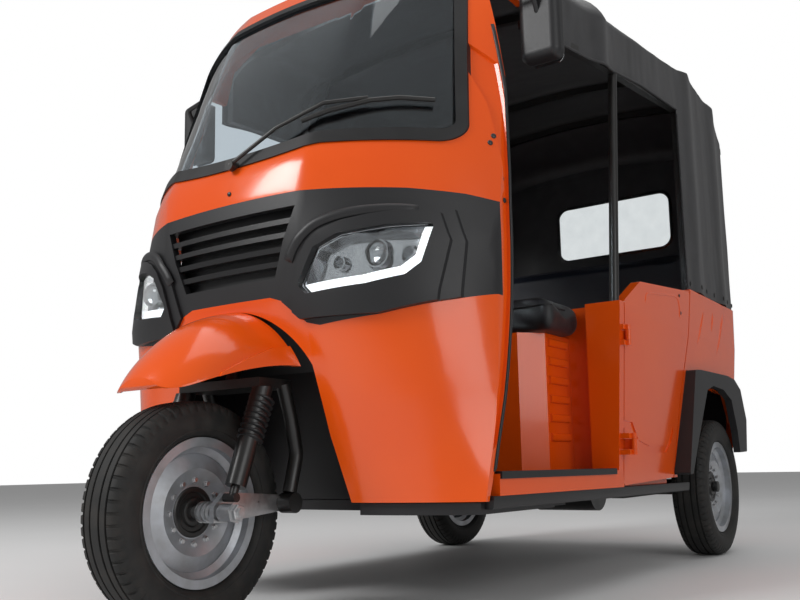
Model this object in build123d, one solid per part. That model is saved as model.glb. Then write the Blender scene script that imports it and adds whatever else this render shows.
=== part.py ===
from build123d import *
from functools import lru_cache
import math
import os

# Three-wheeled passenger vehicle with a closed-front cab, a soft canopy and electric drive.
# Millimetres. X points to the vehicle's left, Y to its tail, Z up from the ground.
# Lengthwise places are set out from the front axle. Each finished piece is then moved so
# that the middle of the whole length lies at Y = 0.

# Wheels and tyres
WHEELBASE = 2090
REAR_TRACK = 1135
TYRE_RADIUS = 252
TYRE_WIDTH = 130
RIM_RADIUS = 152
RIM_FLANGE_RADIUS = 168
RIM_WIDTH = 100
RIM_WALL = 5
DISC_OFFSET = 14
DISC_HALF = 3
DISC_STEP = 16
HUB_DRUM_RADIUS = 92
HUB_DRUM_WIDTH = 74
SHAFT_RADIUS = 14
RUNNING_GAP = 0.3
MOVING_GAP = 6

# Overall. The front tyre is the foremost piece.
BODY_HALF = 640
TUCK = 28
TUCK_TOP = 800
REAR_FACE = WHEELBASE + 350
BUMPER_HEIGHT = 345
BUMPER_Y = REAR_FACE - 12
BUMPER_HALF = BODY_HALF - 100
BUMPER_RADIUS = 20
MIDDLE = (BUMPER_Y + BUMPER_RADIUS - TYRE_RADIUS) / 2

# Cab: walls and the levels where its panels meet
CAB_WALL = 20
GLASS_THICKNESS = 6
GLASS_INSET = 7
SEAL_WIDTH = 24
SEAL_FOOT_SHARE = 1.45
SEAL_PROUD = 5
PANEL_SEAM = 0.3
CAB_BOTTOM = 265
DOOR_HEADER = 1585
CAB_ROOF_REAR = 655
KNEE_X = 230
KNEE_DROP = 13
# Plan sections of the cab's outer skin, from the bottom up. Columns: height, front centre y,
# x and y of the middle of the corner arc, x and y where the arc ends, how far an inner skin sinks.
CAB_SECTIONS = [
    (265, 228, 450, 262, 592, 330, 0.0),
    (500, 178, 462, 246, 603, 385, 0.0),
    (740, 124, 474, 232, 604, 398, 0.0),
    (880, 106, 470, 244, 604, 404, 0.0),
    (1060, 113, 440, 258, 600, 448, 0.0),
    (1350, 235, 436, 368, 584, 515, 0.0),
    (1590, 337, 425, 452, 574, 575, 0.0),
    (1710, 420, 400, 505, 545, 610, 0.7),
    (1778, 560, 330, 600, 430, 640, 1.0),
]
# Side view of the door opening's front edge. Columns: y, height.
DOOR_EDGE = [(345, 265), (388, 392), (440, 582), (470, 762), (484, 1000), (500, 1200), (512, 1360), (530, 1560)]
DOOR_CORNER = 40
# Front edge of the sunk strip along the door opening, side view. Columns: y, height.
STRIP_EDGE = [(361, 378), (403, 633), (421, 747), (425, 967), (451, 1009), (452, 1240), (433, 1337), (402, 1482)]
STRIP_DEPTH = 8
DOOR_LIP = 11

# Mask with grille and lamps, front view. Columns of the edge: x, height.
MASK_TOP = 998
MASK_EDGE = [(134, 750), (170, 738), (230, 683), (265, 674), (412, 690), (547, 723), (BODY_HALF, 752),
             (BODY_HALF, 962), (550, 983), (450, 992)]
MASK_SPLIT = 860
# Raised pod round each lamp, front view, left side: outer line, then the step inside it.
POD_OUTER = [(160, 700), (179, 752), (200, 820), (227, 876), (252, 903), (291, 924), (344, 935), (459, 948),
             (540, 938), (562, 860), (556, 700)]
POD_INNER = [(200, 690), (215, 760), (232, 822), (258, 866), (287, 891), (336, 911), (396, 924), (460, 934),
             (522, 926), (542, 860), (520, 690)]
POD_STEP = 8
GRILLE_TOP = 962
GRILLE_BOTTOM = 794
GRILLE_TOP_X = 218
GRILLE_BOTTOM_X = 153
GRILLE_BLADES = 4
GRILLE_DEPTH = 34
BLADE_THICKNESS = 13
BLADE_INSET = 4
# Lamp opening in the front view, left side. Columns: x, height.
LAMP_OUTLINE = [(228, 768), (249, 745), (391, 758), (468, 776), (496, 805), (516, 902), (430, 896), (330, 879),
                (275, 852)]
LAMP_CORNER = 11
LAMP_DEPTH = 58
LAMP_BACK = 12
LAMP_RIM = 5
LENS_INSET = 1
LENS_THICKNESS = 4
STRIP_WIDTH = 18
STRIP_THICKNESS = 10
# Round reflector cups in each lamp, front view, left side. Columns: x, height, radius.
LAMP_CUPS = [(390, 836, 34), (309, 818, 17), (452, 838, 17)]
CUP_WALL = 4
CUP_LENGTH = 30

# Windscreen opening in the front view, outer edge of its seal
SCREEN_BOTTOM = 1096
SCREEN_BOTTOM_SIDE = 1119
SCREEN_FOOT_X = 260
SCREEN_TOP = 1650
SCREEN_TOP_SIDE = 1612
SCREEN_BOTTOM_X = 545
SCREEN_TOP_X = 488
SCREEN_CORNER = 48
# Wiper, front view, as carried in front of the skin. Columns: x, height.
WIPER_PIVOT = (14, 1100)
WIPER_ARM = [(135, 1180), (254, 1228), (345, 1239)]
WIPER_BLADE = [(202, 1188), (268, 1209), (350, 1232), (409, 1238), (476, 1233)]
WIPER_ARM_OFF = 22
WIPER_BLADE_OFF = 12

# Wheel opening in the lower cowl, front view. Columns: half width, height.
WELL_OPENING = [(292, 250), (252, 420), (228, 585)]
WELL_TOP = 728
LINER_WALL = 5
LINER_REAR = 445
LINER_TOP = 742
LINER_HALF = 300

# Mudguard over the front wheel. Columns: y, half width, edge height, crown height.
MUDGUARD_SECTIONS = [
    (-150, 60, 530, 548),
    (-128, 95, 522, 580),
    (-70, 128, 540, 638),
    (0, 142, 562, 686),
    (94, 160, 582, 721),
    (170, 190, 585, 738),
    (250, 228, 545, 750),
]
MUDGUARD_WALL = 10
MUDGUARD_LIP = 6
# Upper edge of the lip along the mudguard's sides, side view. Columns: y, height.
LIP_CREASE = [(-40, 548), (-32, 560), (50, 600), (112, 626), (165, 635), (215, 616), (300, 600)]

# Steering axis: where it meets the ground, and its lean from the vertical
STEER_GROUND_Y = -40
STEER_LEAN = 17.6
FORK_HALF = 128
CROWN_HEIGHT = 558
CROWN_THICKNESS = 22
STEM_RADIUS = 24
STEM_WALL = 7
HEAD_TUBE_WALL = 6
HEAD_TUBE_LOW = 690
HEAD_TUBE_TOP = 900
BAR_HEIGHT = 985
BAR_HALF = 270
BAR_SWEEP = 170
BAR_DROP = 52
BAR_RADIUS = 12
LINK_PIVOT_Y = 203
LINK_PIVOT_Z = 265
LINK_THICKNESS = 14
STRUT_FOOT_Y = 12
STRUT_FOOT_Z = 284
STRUT_HEAD_Y = 116
STRUT_RADIUS = 24
FORK_TUBE_RADIUS = 17
NUT_RADIUS = 20

# Chassis and floor
FLOOR_TOP = 325
FLOOR_THICKNESS = 12
FLOOR_HALF = 560
RAIL_SIZE = 50
RAIL_X = 300
RAIL_FRONT = 460
RAIL_REAR = WHEELBASE + 228
RAIL_RAISED = 375
SILL_BOTTOM = 276
SILL_CLEARANCE = 6
SKIRT_BOTTOM = 236
SKIRT_REAR = 860

# Driver's seat and the wall behind it
BULKHEAD_FRONT = 1082
BULKHEAD_THICKNESS = 34
BULKHEAD_TOP = 822
BULKHEAD_SET_BACK = 54
BULKHEAD_SHEET = 22
PILLAR_WIDTH = 109
SEAT_BOX_FRONT = 905
SEAT_BOX_HALF = BODY_HALF - 190
SEAT_BOX_TOP = 730
SEAT_BOX_CHAMFER = 60
SEAT_BOX_WALL = 3
SEAT_RIBS = 6
SEAT_RIB_PITCH = 56
SEAT_RIB_LOW = 412
SEAT_RIB_HEIGHT = 24
SEAT_RIB_PROUD = 8
CUSHION_HALF = BODY_HALF - 125
CUSHION_HEIGHT = 104
CUSHION_ROUND = 40
CUSHION_FRONT = 890
POST_RADIUS = 14
POST_FOOT_Y = 1102
POST_HEAD_Y = 1228

# Passenger half door, side view
DOOR_FRONT = BULKHEAD_FRONT + BULKHEAD_THICKNESS + 6
DOOR_TOP_FRONT = 828
DOOR_RISE_Y = 1269
DOOR_RISE_TOP = 908
DOOR_TOP_REAR = 955
# Rear edge of the half door from the top down. Columns: y, height.
DOOR_REAR = [(WHEELBASE - 302, 955), (WHEELBASE - 359, 772), (WHEELBASE - 449, 555), (WHEELBASE - 518, 296)]
DOOR_THICKNESS = 30
DOOR_BOTTOM = 280
DOOR_GAP = 8
# Pressed line across the lower half of the door, side view. Columns: y, height.
DOOR_CREASE = [(1122, 470), (1188, 466), (1242, 414), (1340, 397), (1500, 400), (1545, 432), (1568, 468)]
CREASE_WIDTH = 22
CREASE_DEPTH = 4
HINGE_RADIUS = 8
HINGE_PIN = 4
HINGE_X = BODY_HALF + 10
HINGE_Y = BULKHEAD_FRONT + BULKHEAD_THICKNESS - 2
HINGE_LEAF = 30
HINGE_HEIGHTS = (400, 720)

# Rear body
BELT_HEIGHT = 965
REAR_LEAN = 55
REAR_BOTTOM = 390
REAR_CORNER = 70
SIDE_WALL = 26
# Wheel opening in the side panel, then the flare's outer and inner lines. Columns: distance
# behind the rear axle, height.
ARCH = [(-477, 200), (-477, 312), (-366, 455), (-249, 601), (-169, 620), (-38, 618), (150, 606), (256, 500),
        (256, 200)]
FLARE_OUTER = [(-514, 303), (-379, 663), (-320, 668), (33, 672), (132, 664), (213, 629), (274, 511), (247, 384),
               (144, 380)]
FLARE_INNER = [(-480, 200), (-476, 312), (-366, 455), (-249, 601), (-169, 620), (-38, 614), (66, 581), (124, 467),
               (144, 380), (144, 200)]
FLARE_PROUD = 26
HOUSING_INNER = BODY_HALF - 174
HOUSING_REAR = WHEELBASE + 232
HOUSING_TOP = 628
HOUSING_WALL = 5
HOUSING_SLANT = 230
BENCH_FRONT = WHEELBASE - 210
HOUSING_FRONT = BENCH_FRONT - 276
BENCH_TOP = 650
BENCH_CUSHION = 115
BENCH_HALF = BODY_HALF - 40
BENCH_ROUND = 36
BACK_THICKNESS = 110
BACK_TOP = 1265

# Canopy
CANOPY_FRONT = 656
CANOPY_WALL = 10
QUARTER_FRONT = WHEELBASE - 294
# Hem of the canopy over the open side, side view. Columns: y, height.
CANOPY_HEM = [(640, 1524), (820, 1546), (1080, 1569), (1440, 1623), (QUARTER_FRONT, 1650)]
# Cross sections of the canopy. Columns: y, half width, shoulder height, crown height.
CANOPY_SECTIONS = [
    (CANOPY_FRONT, 585, 1690, 1800),
    (1110, 625, 1735, 1860),
    (WHEELBASE - 175, BODY_HALF + 10, 1835, 1905),
    (WHEELBASE + 160, BODY_HALF + 10, 1795, 1890),
    (REAR_FACE, BODY_HALF, 1680, 1760),
]
SHOULDER_INSET = 150
SHOULDER_DROP = 34
SHOULDER_ROUND = 40
BOW_RADIUS = 11
BOW_CLEARANCE = 3.5
BOW_STATIONS = [690, 1115, WHEELBASE - 172, WHEELBASE + 144]
# Rail along the canopy's hem, left side. Columns: x, y, height of its middle.
CANOPY_RAIL = [(559, 672, 1542), (600, 1115, 1586), (BODY_HALF - 24, WHEELBASE - 274, 1664),
               (BODY_HALF - 24, REAR_FACE - 28, 1664)]
CANOPY_RAIL_WIDTH = 24
WINDOW_X = 122
WINDOW_HALF = 262
WINDOW_BOTTOM = 1297
WINDOW_TOP = 1540
WINDOW_CORNER = 45
WINDOW_OVERLAP = 14
WINDOW_THICKNESS = 2

# Small pieces
MIRROR_X = BODY_HALF + 5
MIRROR_Y = 583
MIRROR_BOTTOM = 1386
MIRROR_WIDTH = 112
MIRROR_HEIGHT = 205
MIRROR_DEPTH = 58
MIRROR_ARM_RADIUS = 7
LAMP_TAIL_DEPTH = 9
PLATE_HALF = 110
PLATE_BOTTOM = 560
PLATE_HEIGHT = 130
PLATE_THICKNESS = 3
MOTOR_RADIUS = 95
MOTOR_LENGTH = 260
AXLE_TUBE_RADIUS = 30
ARM_SIZE = 42
ARM_X = 380
ARM_LENGTH = 450
DAMPER_X = 400
DAMPER_RADIUS = 26
DAMPER_TOP = 471
BATTERY_HALF = 210
BATTERY_HEIGHT = 170

LEAN = math.radians(STEER_LEAN)


def steer_y(height):
    """Lengthwise place of the steering axis at a height."""
    return STEER_GROUND_Y + height * math.tan(LEAN)


def solid_box(x0, x1, y0, y1, z0, z1):
    """A box given by its two corners."""
    size = Box(x1 - x0, y1 - y0, z1 - z0)
    return Pos((x0 + x1) / 2, (y0 + y1) / 2, (z0 + z1) / 2) * size


def rod(start, end, radius):
    """A round bar from one point to another."""
    a, b = Vector(*start), Vector(*end)
    place = Plane(origin=a, z_dir=b - a)
    return extrude(place * Circle(radius), (b - a).length)


def bent_tube(points, radius, corner):
    """A round tube along straight runs with rounded corners."""
    path = FilletPolyline(*points, radius=corner)
    start = Plane(origin=path @ 0, z_dir=path % 0)
    return sweep(start * Circle(radius), path=path)


def both_sides(piece):
    """A piece and its mirror image on the other side."""
    return [piece, mirror(piece, about=Plane.YZ)]


def front_view(points, y0, y1, corner=0, inset=0):
    """A prism along Y whose outline is given as x and height, or one inset from it."""
    face = make_face(Polyline(*points, close=True))
    if corner:
        face = fillet(face.vertices(), corner)
    if inset:
        face = offset(face, -inset)
    prism = extrude(Plane.XZ.offset(-y0) * face, -(y1 - y0))
    return prism


def side_view(points, x0, x1, corner=0):
    """A prism along X whose outline is given as y and height."""
    face = make_face(Polyline(*points, close=True))
    if corner:
        face = fillet(face.vertices(), corner)
    return extrude(Plane.YZ.offset(x0) * face, x1 - x0)


def turned(points):
    """A ring or disc turned about an axle along X, from points given as radius and x."""
    face = Plane.XZ * make_face(Polyline(*points, close=True))
    return Rot(0, 90, 0) * revolve(face, axis=Axis.Z)


def side_x(height):
    """Half width of the doors and side panels at a height: they tuck in towards the sill."""
    return BODY_HALF - TUCK * max(0, TUCK_TOP - height) / (TUCK_TOP - FLOOR_TOP)


def cab_y(x, z):
    """Lengthwise place of the cab's outer skin at a point of the front view."""
    rows = [r for r in CAB_SECTIONS if r[0] <= z][-1], [r for r in CAB_SECTIONS if r[0] > z][0]
    share = (z - rows[0][0]) / (rows[1][0] - rows[0][0])
    front, mid_x, mid_y, edge_x, edge_y = [a + (b - a) * share for a, b in zip(rows[0][1:6], rows[1][1:6])]
    knee_y = front + KNEE_DROP
    if abs(x) < KNEE_X:
        return front + KNEE_DROP * (x / KNEE_X) ** 2
    arc = ThreePointArc((KNEE_X, knee_y), (mid_x, mid_y), (edge_x, edge_y))
    centre = arc.arc_center
    return centre.Y - math.sqrt(arc.radius**2 - (abs(x) - centre.X) ** 2)


def cab_section(row, inset):
    """One plan section of the cab, moved inwards by an inset."""
    z, front, mid_x, mid_y, edge_x, edge_y, sink = row
    level = z - inset * sink
    knee = (KNEE_X, front + KNEE_DROP + inset)
    middle = (mid_x - inset * 0.72, mid_y + inset * 0.72)
    edge = (edge_x - inset, edge_y + inset * 0.3)
    back = (edge_x - inset, CAB_ROOF_REAR + 60)
    right = [(-x, y) for x, y in (knee, middle, edge, back)]
    with BuildSketch(Plane.XY.offset(level)) as sketch:
        with BuildLine():
            ThreePointArc(right[0], (0, front + inset), knee)
            ThreePointArc(knee, middle, edge)
            Polyline(edge, back, right[3], right[2])
            ThreePointArc(right[2], right[1], right[0])
        make_face()
    return sketch.sketch


@lru_cache(maxsize=None)
def cab_form(inset):
    """The cab's outer form as one solid, or a smaller one inside it."""
    return loft([cab_section(row, inset) for row in CAB_SECTIONS], ruled=True)


def door_edge_cut():
    """What is cut away behind the door opening's front edge, below the roof."""
    rear = CAB_ROOF_REAR + 100
    points = DOOR_EDGE + [(DOOR_EDGE[-1][0] + DOOR_CORNER, DOOR_HEADER), (rear, DOOR_HEADER)]
    points += [(rear, CAB_BOTTOM - 50), (DOOR_EDGE[0][0], CAB_BOTTOM - 50)]
    return side_view(points, -BODY_HALF - 100, BODY_HALF + 100)


def strip_region():
    """The sunk strip along the door opening's front edge, through the width."""
    rear = [(y - DOOR_LIP, z) for y, z in DOOR_EDGE[1:-1]]
    return side_view(STRIP_EDGE + rear[::-1], -BODY_HALF - 60, BODY_HALF + 60)


def mask_region():
    """The band of the cab that the dark mask covers, as a prism along Y."""
    with BuildSketch(Plane.XZ.offset(-700)) as sketch:
        with BuildLine():
            Polyline(MASK_EDGE)
            Polyline([(-x, z) for x, z in MASK_EDGE])
            Line(MASK_EDGE[0], (-MASK_EDGE[0][0], MASK_EDGE[0][1]))
            ThreePointArc(MASK_EDGE[-1], (0, MASK_TOP), (-MASK_EDGE[-1][0], MASK_EDGE[-1][1]))
        make_face()
    band = extrude(sketch.sketch, 900)
    behind = [(y, z) for y, z in STRIP_EDGE if z < MASK_TOP + 60]
    behind += [(CAB_ROOF_REAR, behind[-1][1]), (CAB_ROOF_REAR, behind[0][1])]
    return band - side_view(behind, -BODY_HALF - 60, BODY_HALF + 60)


def screen_region(inset):
    """The windscreen's outline as a prism along Y, moved inwards by an inset."""
    foot = inset * SEAL_FOOT_SHARE
    bottom, bottom_side = SCREEN_BOTTOM + foot, SCREEN_BOTTOM_SIDE + foot
    top, top_side = SCREEN_TOP - inset, SCREEN_TOP_SIDE - inset
    low, high = SCREEN_BOTTOM_X - inset, SCREEN_TOP_X - inset
    with BuildSketch(Plane.XZ.offset(-700)) as sketch:
        with BuildLine():
            ThreePointArc((-SCREEN_FOOT_X, bottom_side), (0, bottom), (SCREEN_FOOT_X, bottom_side))
            Polyline((SCREEN_FOOT_X, bottom_side), (low, bottom_side), (high, top_side))
            ThreePointArc((high, top_side), (0, top), (-high, top_side))
            Polyline((-high, top_side), (-low, bottom_side), (-SCREEN_FOOT_X, bottom_side))
        make_face()
        corners = sketch.vertices().filter_by(lambda v: abs(v.X) > SCREEN_FOOT_X + 50)
        fillet(corners, SCREEN_CORNER - inset)
    return extrude(sketch.sketch, 900)


def well_region():
    """The opening in the lower cowl for the front wheel, as a prism along Y."""
    half = WELL_OPENING
    with BuildSketch(Plane.XZ.offset(-400)) as sketch:
        with BuildLine():
            Polyline(half)
            Polyline([(-x, z) for x, z in half])
            Line(half[0], (-half[0][0], half[0][1]))
            ThreePointArc(half[-1], (0, WELL_TOP), (-half[-1][0], half[-1][1]))
        make_face()
    return extrude(sketch.sketch, 900)


def cab_panels():
    """Lower cowl, mask shell, upper frame with roof, seal and glass, split where they meet."""
    shell = cab_form(0) - cab_form(CAB_WALL)
    shell -= solid_box(-BODY_HALF, BODY_HALF, CAB_ROOF_REAR, CAB_ROOF_REAR + 80, 0, 2000)
    shell -= door_edge_cut()
    mask = mask_region()
    body = shell - mask
    body -= (cab_form(0) - cab_form(STRIP_DEPTH)) & strip_region()
    lower = body & solid_box(-700, 700, -100, 900, 200, MASK_SPLIT)
    lower -= well_region()
    upper = body & solid_box(-700, 700, -100, 900, MASK_SPLIT, 2000)
    seal_zone = screen_region(0)
    upper -= seal_zone
    ring = (cab_form(-SEAL_PROUD) - cab_form(CAB_WALL + 2)) & seal_zone
    glass_zone = screen_region(SEAL_WIDTH)
    seal = ring - glass_zone
    glass = (cab_form(GLASS_INSET) - cab_form(GLASS_INSET + GLASS_THICKNESS)) & glass_zone
    return lower, (shell & mask) + pods(mask), upper, seal, glass


def pods(mask):
    """The two raised lamp pods on the mask, each in two steps."""
    root = CAB_WALL / 2
    parts = []
    for outline, height in ((POD_OUTER, POD_STEP), (POD_INNER, 2 * POD_STEP)):
        layer = (cab_form(-height) - cab_form(root)) & front_view(outline, -50, 500) & mask
        parts += both_sides(layer)
    return Part() + parts


def grille_zone(grow):
    """The grille opening's outline as a prism along Y."""
    points = [(GRILLE_TOP_X + grow, GRILLE_TOP + grow), (-GRILLE_TOP_X - grow, GRILLE_TOP + grow)]
    points += [(-GRILLE_BOTTOM_X - grow, GRILLE_BOTTOM - grow), (GRILLE_BOTTOM_X + grow, GRILLE_BOTTOM - grow)]
    return front_view(points, -50, 400)


def lamp_zone(inset=0):
    """The left lamp opening's outline as a prism along Y, or one inset from it."""
    return front_view(LAMP_OUTLINE, -50, 500, LAMP_CORNER, inset)


def lamp_cups():
    """Round reflector cups of the left lamp, open to the front."""
    cups = []
    for x, z, radius in LAMP_CUPS:
        back = cab_y(x, z) + LAMP_DEPTH - 1
        outer = rod((x, back - CUP_LENGTH - 1, z), (x, back - LAMP_BACK + 2, z), radius)
        cups.append(outer - rod((x, back - CUP_LENGTH - 2, z), (x, back - LAMP_BACK - 2, z), radius - CUP_WALL))
    return cups


def lamp_pieces():
    """Lamp housings with their reflector cups, clear lenses and white strips, left side."""
    zone = lamp_zone(PANEL_SEAM)
    front = LENS_INSET + LENS_THICKNESS
    lens = (cab_form(LENS_INSET) - cab_form(front)) & zone
    inner = lamp_zone(LAMP_RIM)
    body = (cab_form(LAMP_DEPTH - LAMP_BACK) - cab_form(LAMP_DEPTH)) & zone
    rim = (cab_form(front) - cab_form(LAMP_DEPTH - LAMP_BACK)) & (zone - inner)
    inside = lamp_zone(LAMP_RIM + 1)
    band = inside - Pos(-STRIP_WIDTH, 0, STRIP_WIDTH) * inside
    strip = (cab_form(front + 1) - cab_form(front + 1 + STRIP_THICKNESS)) & band
    strip = strip.solids().sort_by(SortBy.VOLUME)[-1]
    room = (cab_form(front) - cab_form(front + 2 + STRIP_THICKNESS)) & band
    return (Part() + [body, rim] + lamp_cups()) - room, lens, strip


def grille_pieces():
    """Slanted blades across the grille opening, with a dark back plate."""
    zone = grille_zone(-PANEL_SEAM)
    back = (cab_form(GRILLE_DEPTH) - cab_form(GRILLE_DEPTH + 4)) & grille_zone(8)
    pitch = (GRILLE_TOP - GRILLE_BOTTOM) / (GRILLE_BLADES + 1)
    ring = cab_form(BLADE_INSET) - cab_form(GRILLE_DEPTH)
    blades = []
    for number in range(1, GRILLE_BLADES + 1):
        middle = GRILLE_BOTTOM + number * pitch
        slab = solid_box(-300, 300, 60, 300, middle - BLADE_THICKNESS / 2, middle + BLADE_THICKNESS / 2)
        blades.append(ring & slab & zone)
    return Part() + [back] + blades


def off_skin(points, stand_off):
    """Points of the front view carried to just in front of the cab's skin."""
    return [(x, cab_y(x, z) - stand_off, z) for x, z in points]


def wiper():
    """Wiper arm on its pivot, with the blade held across the glass."""
    x, z = WIPER_PIVOT
    pivot = rod((x, cab_y(x, z) - WIPER_ARM_OFF - 4, z), (x, cab_y(x, z) + 8, z), 14)
    arm = bent_tube(off_skin([WIPER_PIVOT] + WIPER_ARM[:-1], WIPER_ARM_OFF)
                    + off_skin(WIPER_ARM[-1:], WIPER_BLADE_OFF + 2), 5, 40)
    blade = bent_tube(off_skin(WIPER_BLADE, WIPER_BLADE_OFF), 6, 60)
    return (pivot + arm + blade) - cab_form(-SEAL_PROUD - PANEL_SEAM)


def mudguard():
    """Nose guard over the front wheel: an arched shell with a lip, that runs into the cowl."""
    def form(inset, drop):
        faces = []
        for y, half, edge, crown in MUDGUARD_SECTIONS:
            low = edge - drop
            side = half - inset
            with BuildSketch(Plane.XZ.offset(-y)) as sketch:
                with BuildLine():
                    Polyline((side, edge), (side, low - 1), (-side, low - 1), (-side, edge))
                    ThreePointArc((side, edge), (0, crown - inset), (-side, edge))
                make_face()
            faces.append(sketch.sketch)
        return loft(faces)
    hollow = form(MUDGUARD_WALL, 40)
    tip = MUDGUARD_SECTIONS[0][0]
    hollow &= solid_box(-BODY_HALF, BODY_HALF, tip + MUDGUARD_WALL, 500, 0, 900)
    below = [(LIP_CREASE[-1][0], CAB_BOTTOM), (LIP_CREASE[0][0], CAB_BOTTOM)]
    lip = (form(-MUDGUARD_LIP, 0) - hollow) & side_view(LIP_CREASE + below, -BODY_HALF, BODY_HALF)
    return ((form(0, 0) - hollow) + lip) - cab_form(-PANEL_SEAM)


def wheel_liner():
    """Dark hood between the front wheel and the driver's footwell, open below and in front."""
    def hood(half, top, rear):
        points = [(120, 240), (120, top), (rear - 90, top), (rear, top - 130), (rear, 240)]
        return side_view(points, -half, half)
    outer = hood(LINER_HALF, LINER_TOP, LINER_REAR)
    liner = outer - hood(LINER_HALF - LINER_WALL, LINER_TOP - LINER_WALL, LINER_REAR - LINER_WALL)
    liner -= solid_box(-400, 400, 0, 600, 200, CAB_BOTTOM)
    liner &= cab_form(CAB_WALL + PANEL_SEAM)
    stem_hole = steering_bar(STEM_RADIUS + HEAD_TUBE_WALL + 1, 500, 1000)
    return liner - stem_hole


def steering_bar(radius, low, high):
    """A round bar along the steering axis between two heights."""
    return rod((0, steer_y(low), low), (0, steer_y(high), high), radius)


def fork_pieces():
    """Fork with its stem, crown and arms, and the swinging links with axle and nuts."""
    stem = steering_bar(STEM_RADIUS - STEM_WALL, CROWN_HEIGHT, BAR_HEIGHT)
    crown_y, crown_low = steer_y(CROWN_HEIGHT), CROWN_HEIGHT - CROWN_THICKNESS
    crown = solid_box(-FORK_HALF - 8, FORK_HALF + 8, STRUT_HEAD_Y - STRUT_RADIUS - 2, crown_y + 64,
                      crown_low, CROWN_HEIGHT)
    arm = bent_tube([(FORK_HALF, crown_y + 42, CROWN_HEIGHT - 10), (FORK_HALF, crown_y + 70, 470),
                     (FORK_HALF, LINK_PIVOT_Y + 26, 380), (FORK_HALF, LINK_PIVOT_Y, LINK_PIVOT_Z + 24)],
                    FORK_TUBE_RADIUS, 60)
    lug = Pos(FORK_HALF, LINK_PIVOT_Y, LINK_PIVOT_Z) * Rot(0, 90, 0) * Cylinder(24, 40)
    fork = Part() + [stem, crown] + both_sides(arm) + both_sides(lug)
    link_x = FORK_HALF - 20 - LINK_THICKNESS - RUNNING_GAP
    plate = make_face(Polyline((LINK_PIVOT_Y + 18, LINK_PIVOT_Z - 16), (LINK_PIVOT_Y + 18, LINK_PIVOT_Z + 18),
                               (STRUT_FOOT_Y, STRUT_FOOT_Z + 12), (-22, TYRE_RADIUS + 14),
                               (-22, TYRE_RADIUS - 22), (STRUT_FOOT_Y, TYRE_RADIUS - 22), close=True))
    link = extrude(Plane.YZ.offset(link_x) * plate, LINK_THICKNESS)
    axle = Pos(0, 0, TYRE_RADIUS) * Rot(0, 90, 0) * Cylinder(SHAFT_RADIUS, 2 * FORK_HALF + 50)
    nut = Pos(FORK_HALF + 4, 0, TYRE_RADIUS) * Rot(0, 90, 0) * Cylinder(NUT_RADIUS, 36)
    return fork, Part() + both_sides(link) + [axle] + both_sides(nut)


def fork_strut():
    """Left strut between the link and the fork's crown."""
    x = FORK_HALF + 2
    foot, head = (x, STRUT_FOOT_Y, STRUT_FOOT_Z), (x, STRUT_HEAD_Y, CROWN_HEIGHT)
    eye = rod((FORK_HALF - 20 - RUNNING_GAP, STRUT_FOOT_Y, STRUT_FOOT_Z), (x + 14, STRUT_FOOT_Y, STRUT_FOOT_Z), 10)
    lean = (Vector(*head) - Vector(*foot)).normalized()
    body_foot = Vector(*foot) + lean * 26
    strut = rod(foot, head, 10) + rod(tuple(body_foot), head, STRUT_RADIUS) + eye
    return strut - solid_box(-300, 300, 0, 400, CROWN_HEIGHT - CROWN_THICKNESS, CROWN_HEIGHT + 60)


def handlebar():
    """Swept handlebar with the collar that clamps it on the stem."""
    y = steer_y(BAR_HEIGHT)
    half = [(BAR_HALF, y + BAR_SWEEP, BAR_HEIGHT - BAR_DROP),
            (BAR_HALF - 130, y + BAR_SWEEP - 40, BAR_HEIGHT - BAR_DROP + 12), (70, y + 8, BAR_HEIGHT + 14)]
    points = [(-x, *rest) for x, *rest in half] + half[::-1]
    return bent_tube(points, BAR_RADIUS, 30) + steering_bar(STEM_RADIUS, BAR_HEIGHT, BAR_HEIGHT + 30)


def rim(face):
    """Rim with its stepped disc and hub drum; face is 1 where the disc looks left, -1 right."""
    half, d = RIM_WIDTH / 2, DISC_OFFSET * face
    flange, seat, well = RIM_FLANGE_RADIUS, RIM_RADIUS, RIM_RADIUS - 14
    bore = SHAFT_RADIUS + RUNNING_GAP
    barrel = [(seat - 4, -half), (flange, -half), (flange, -half + 5), (seat, -half + 6), (seat, -half + 22),
              (well, -half + 28), (well, half - 28), (seat, half - 22), (seat, half - 6), (flange, half - 5),
              (flange, half), (seat - 4, half), (seat - 4, half - 20), (well - RIM_WALL, half - 28),
              (well - RIM_WALL, -half + 28), (seat - 4, -half + 20)]
    step, sheet = DISC_STEP * face, DISC_HALF
    disc = [(bore, d - sheet), (60, d - sheet), (96, d - sheet + step), (well - 1, d - sheet),
            (well - 1, d + sheet), (98, d + sheet + step), (60, d + sheet), (bore, d + sheet)]
    back = -HUB_DRUM_WIDTH / 2 * face
    drum = [(bore, back), (HUB_DRUM_RADIUS, back), (HUB_DRUM_RADIUS, d), (bore, d)]
    return Part() + [turned(barrel), turned(disc), turned(drum)]


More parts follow.
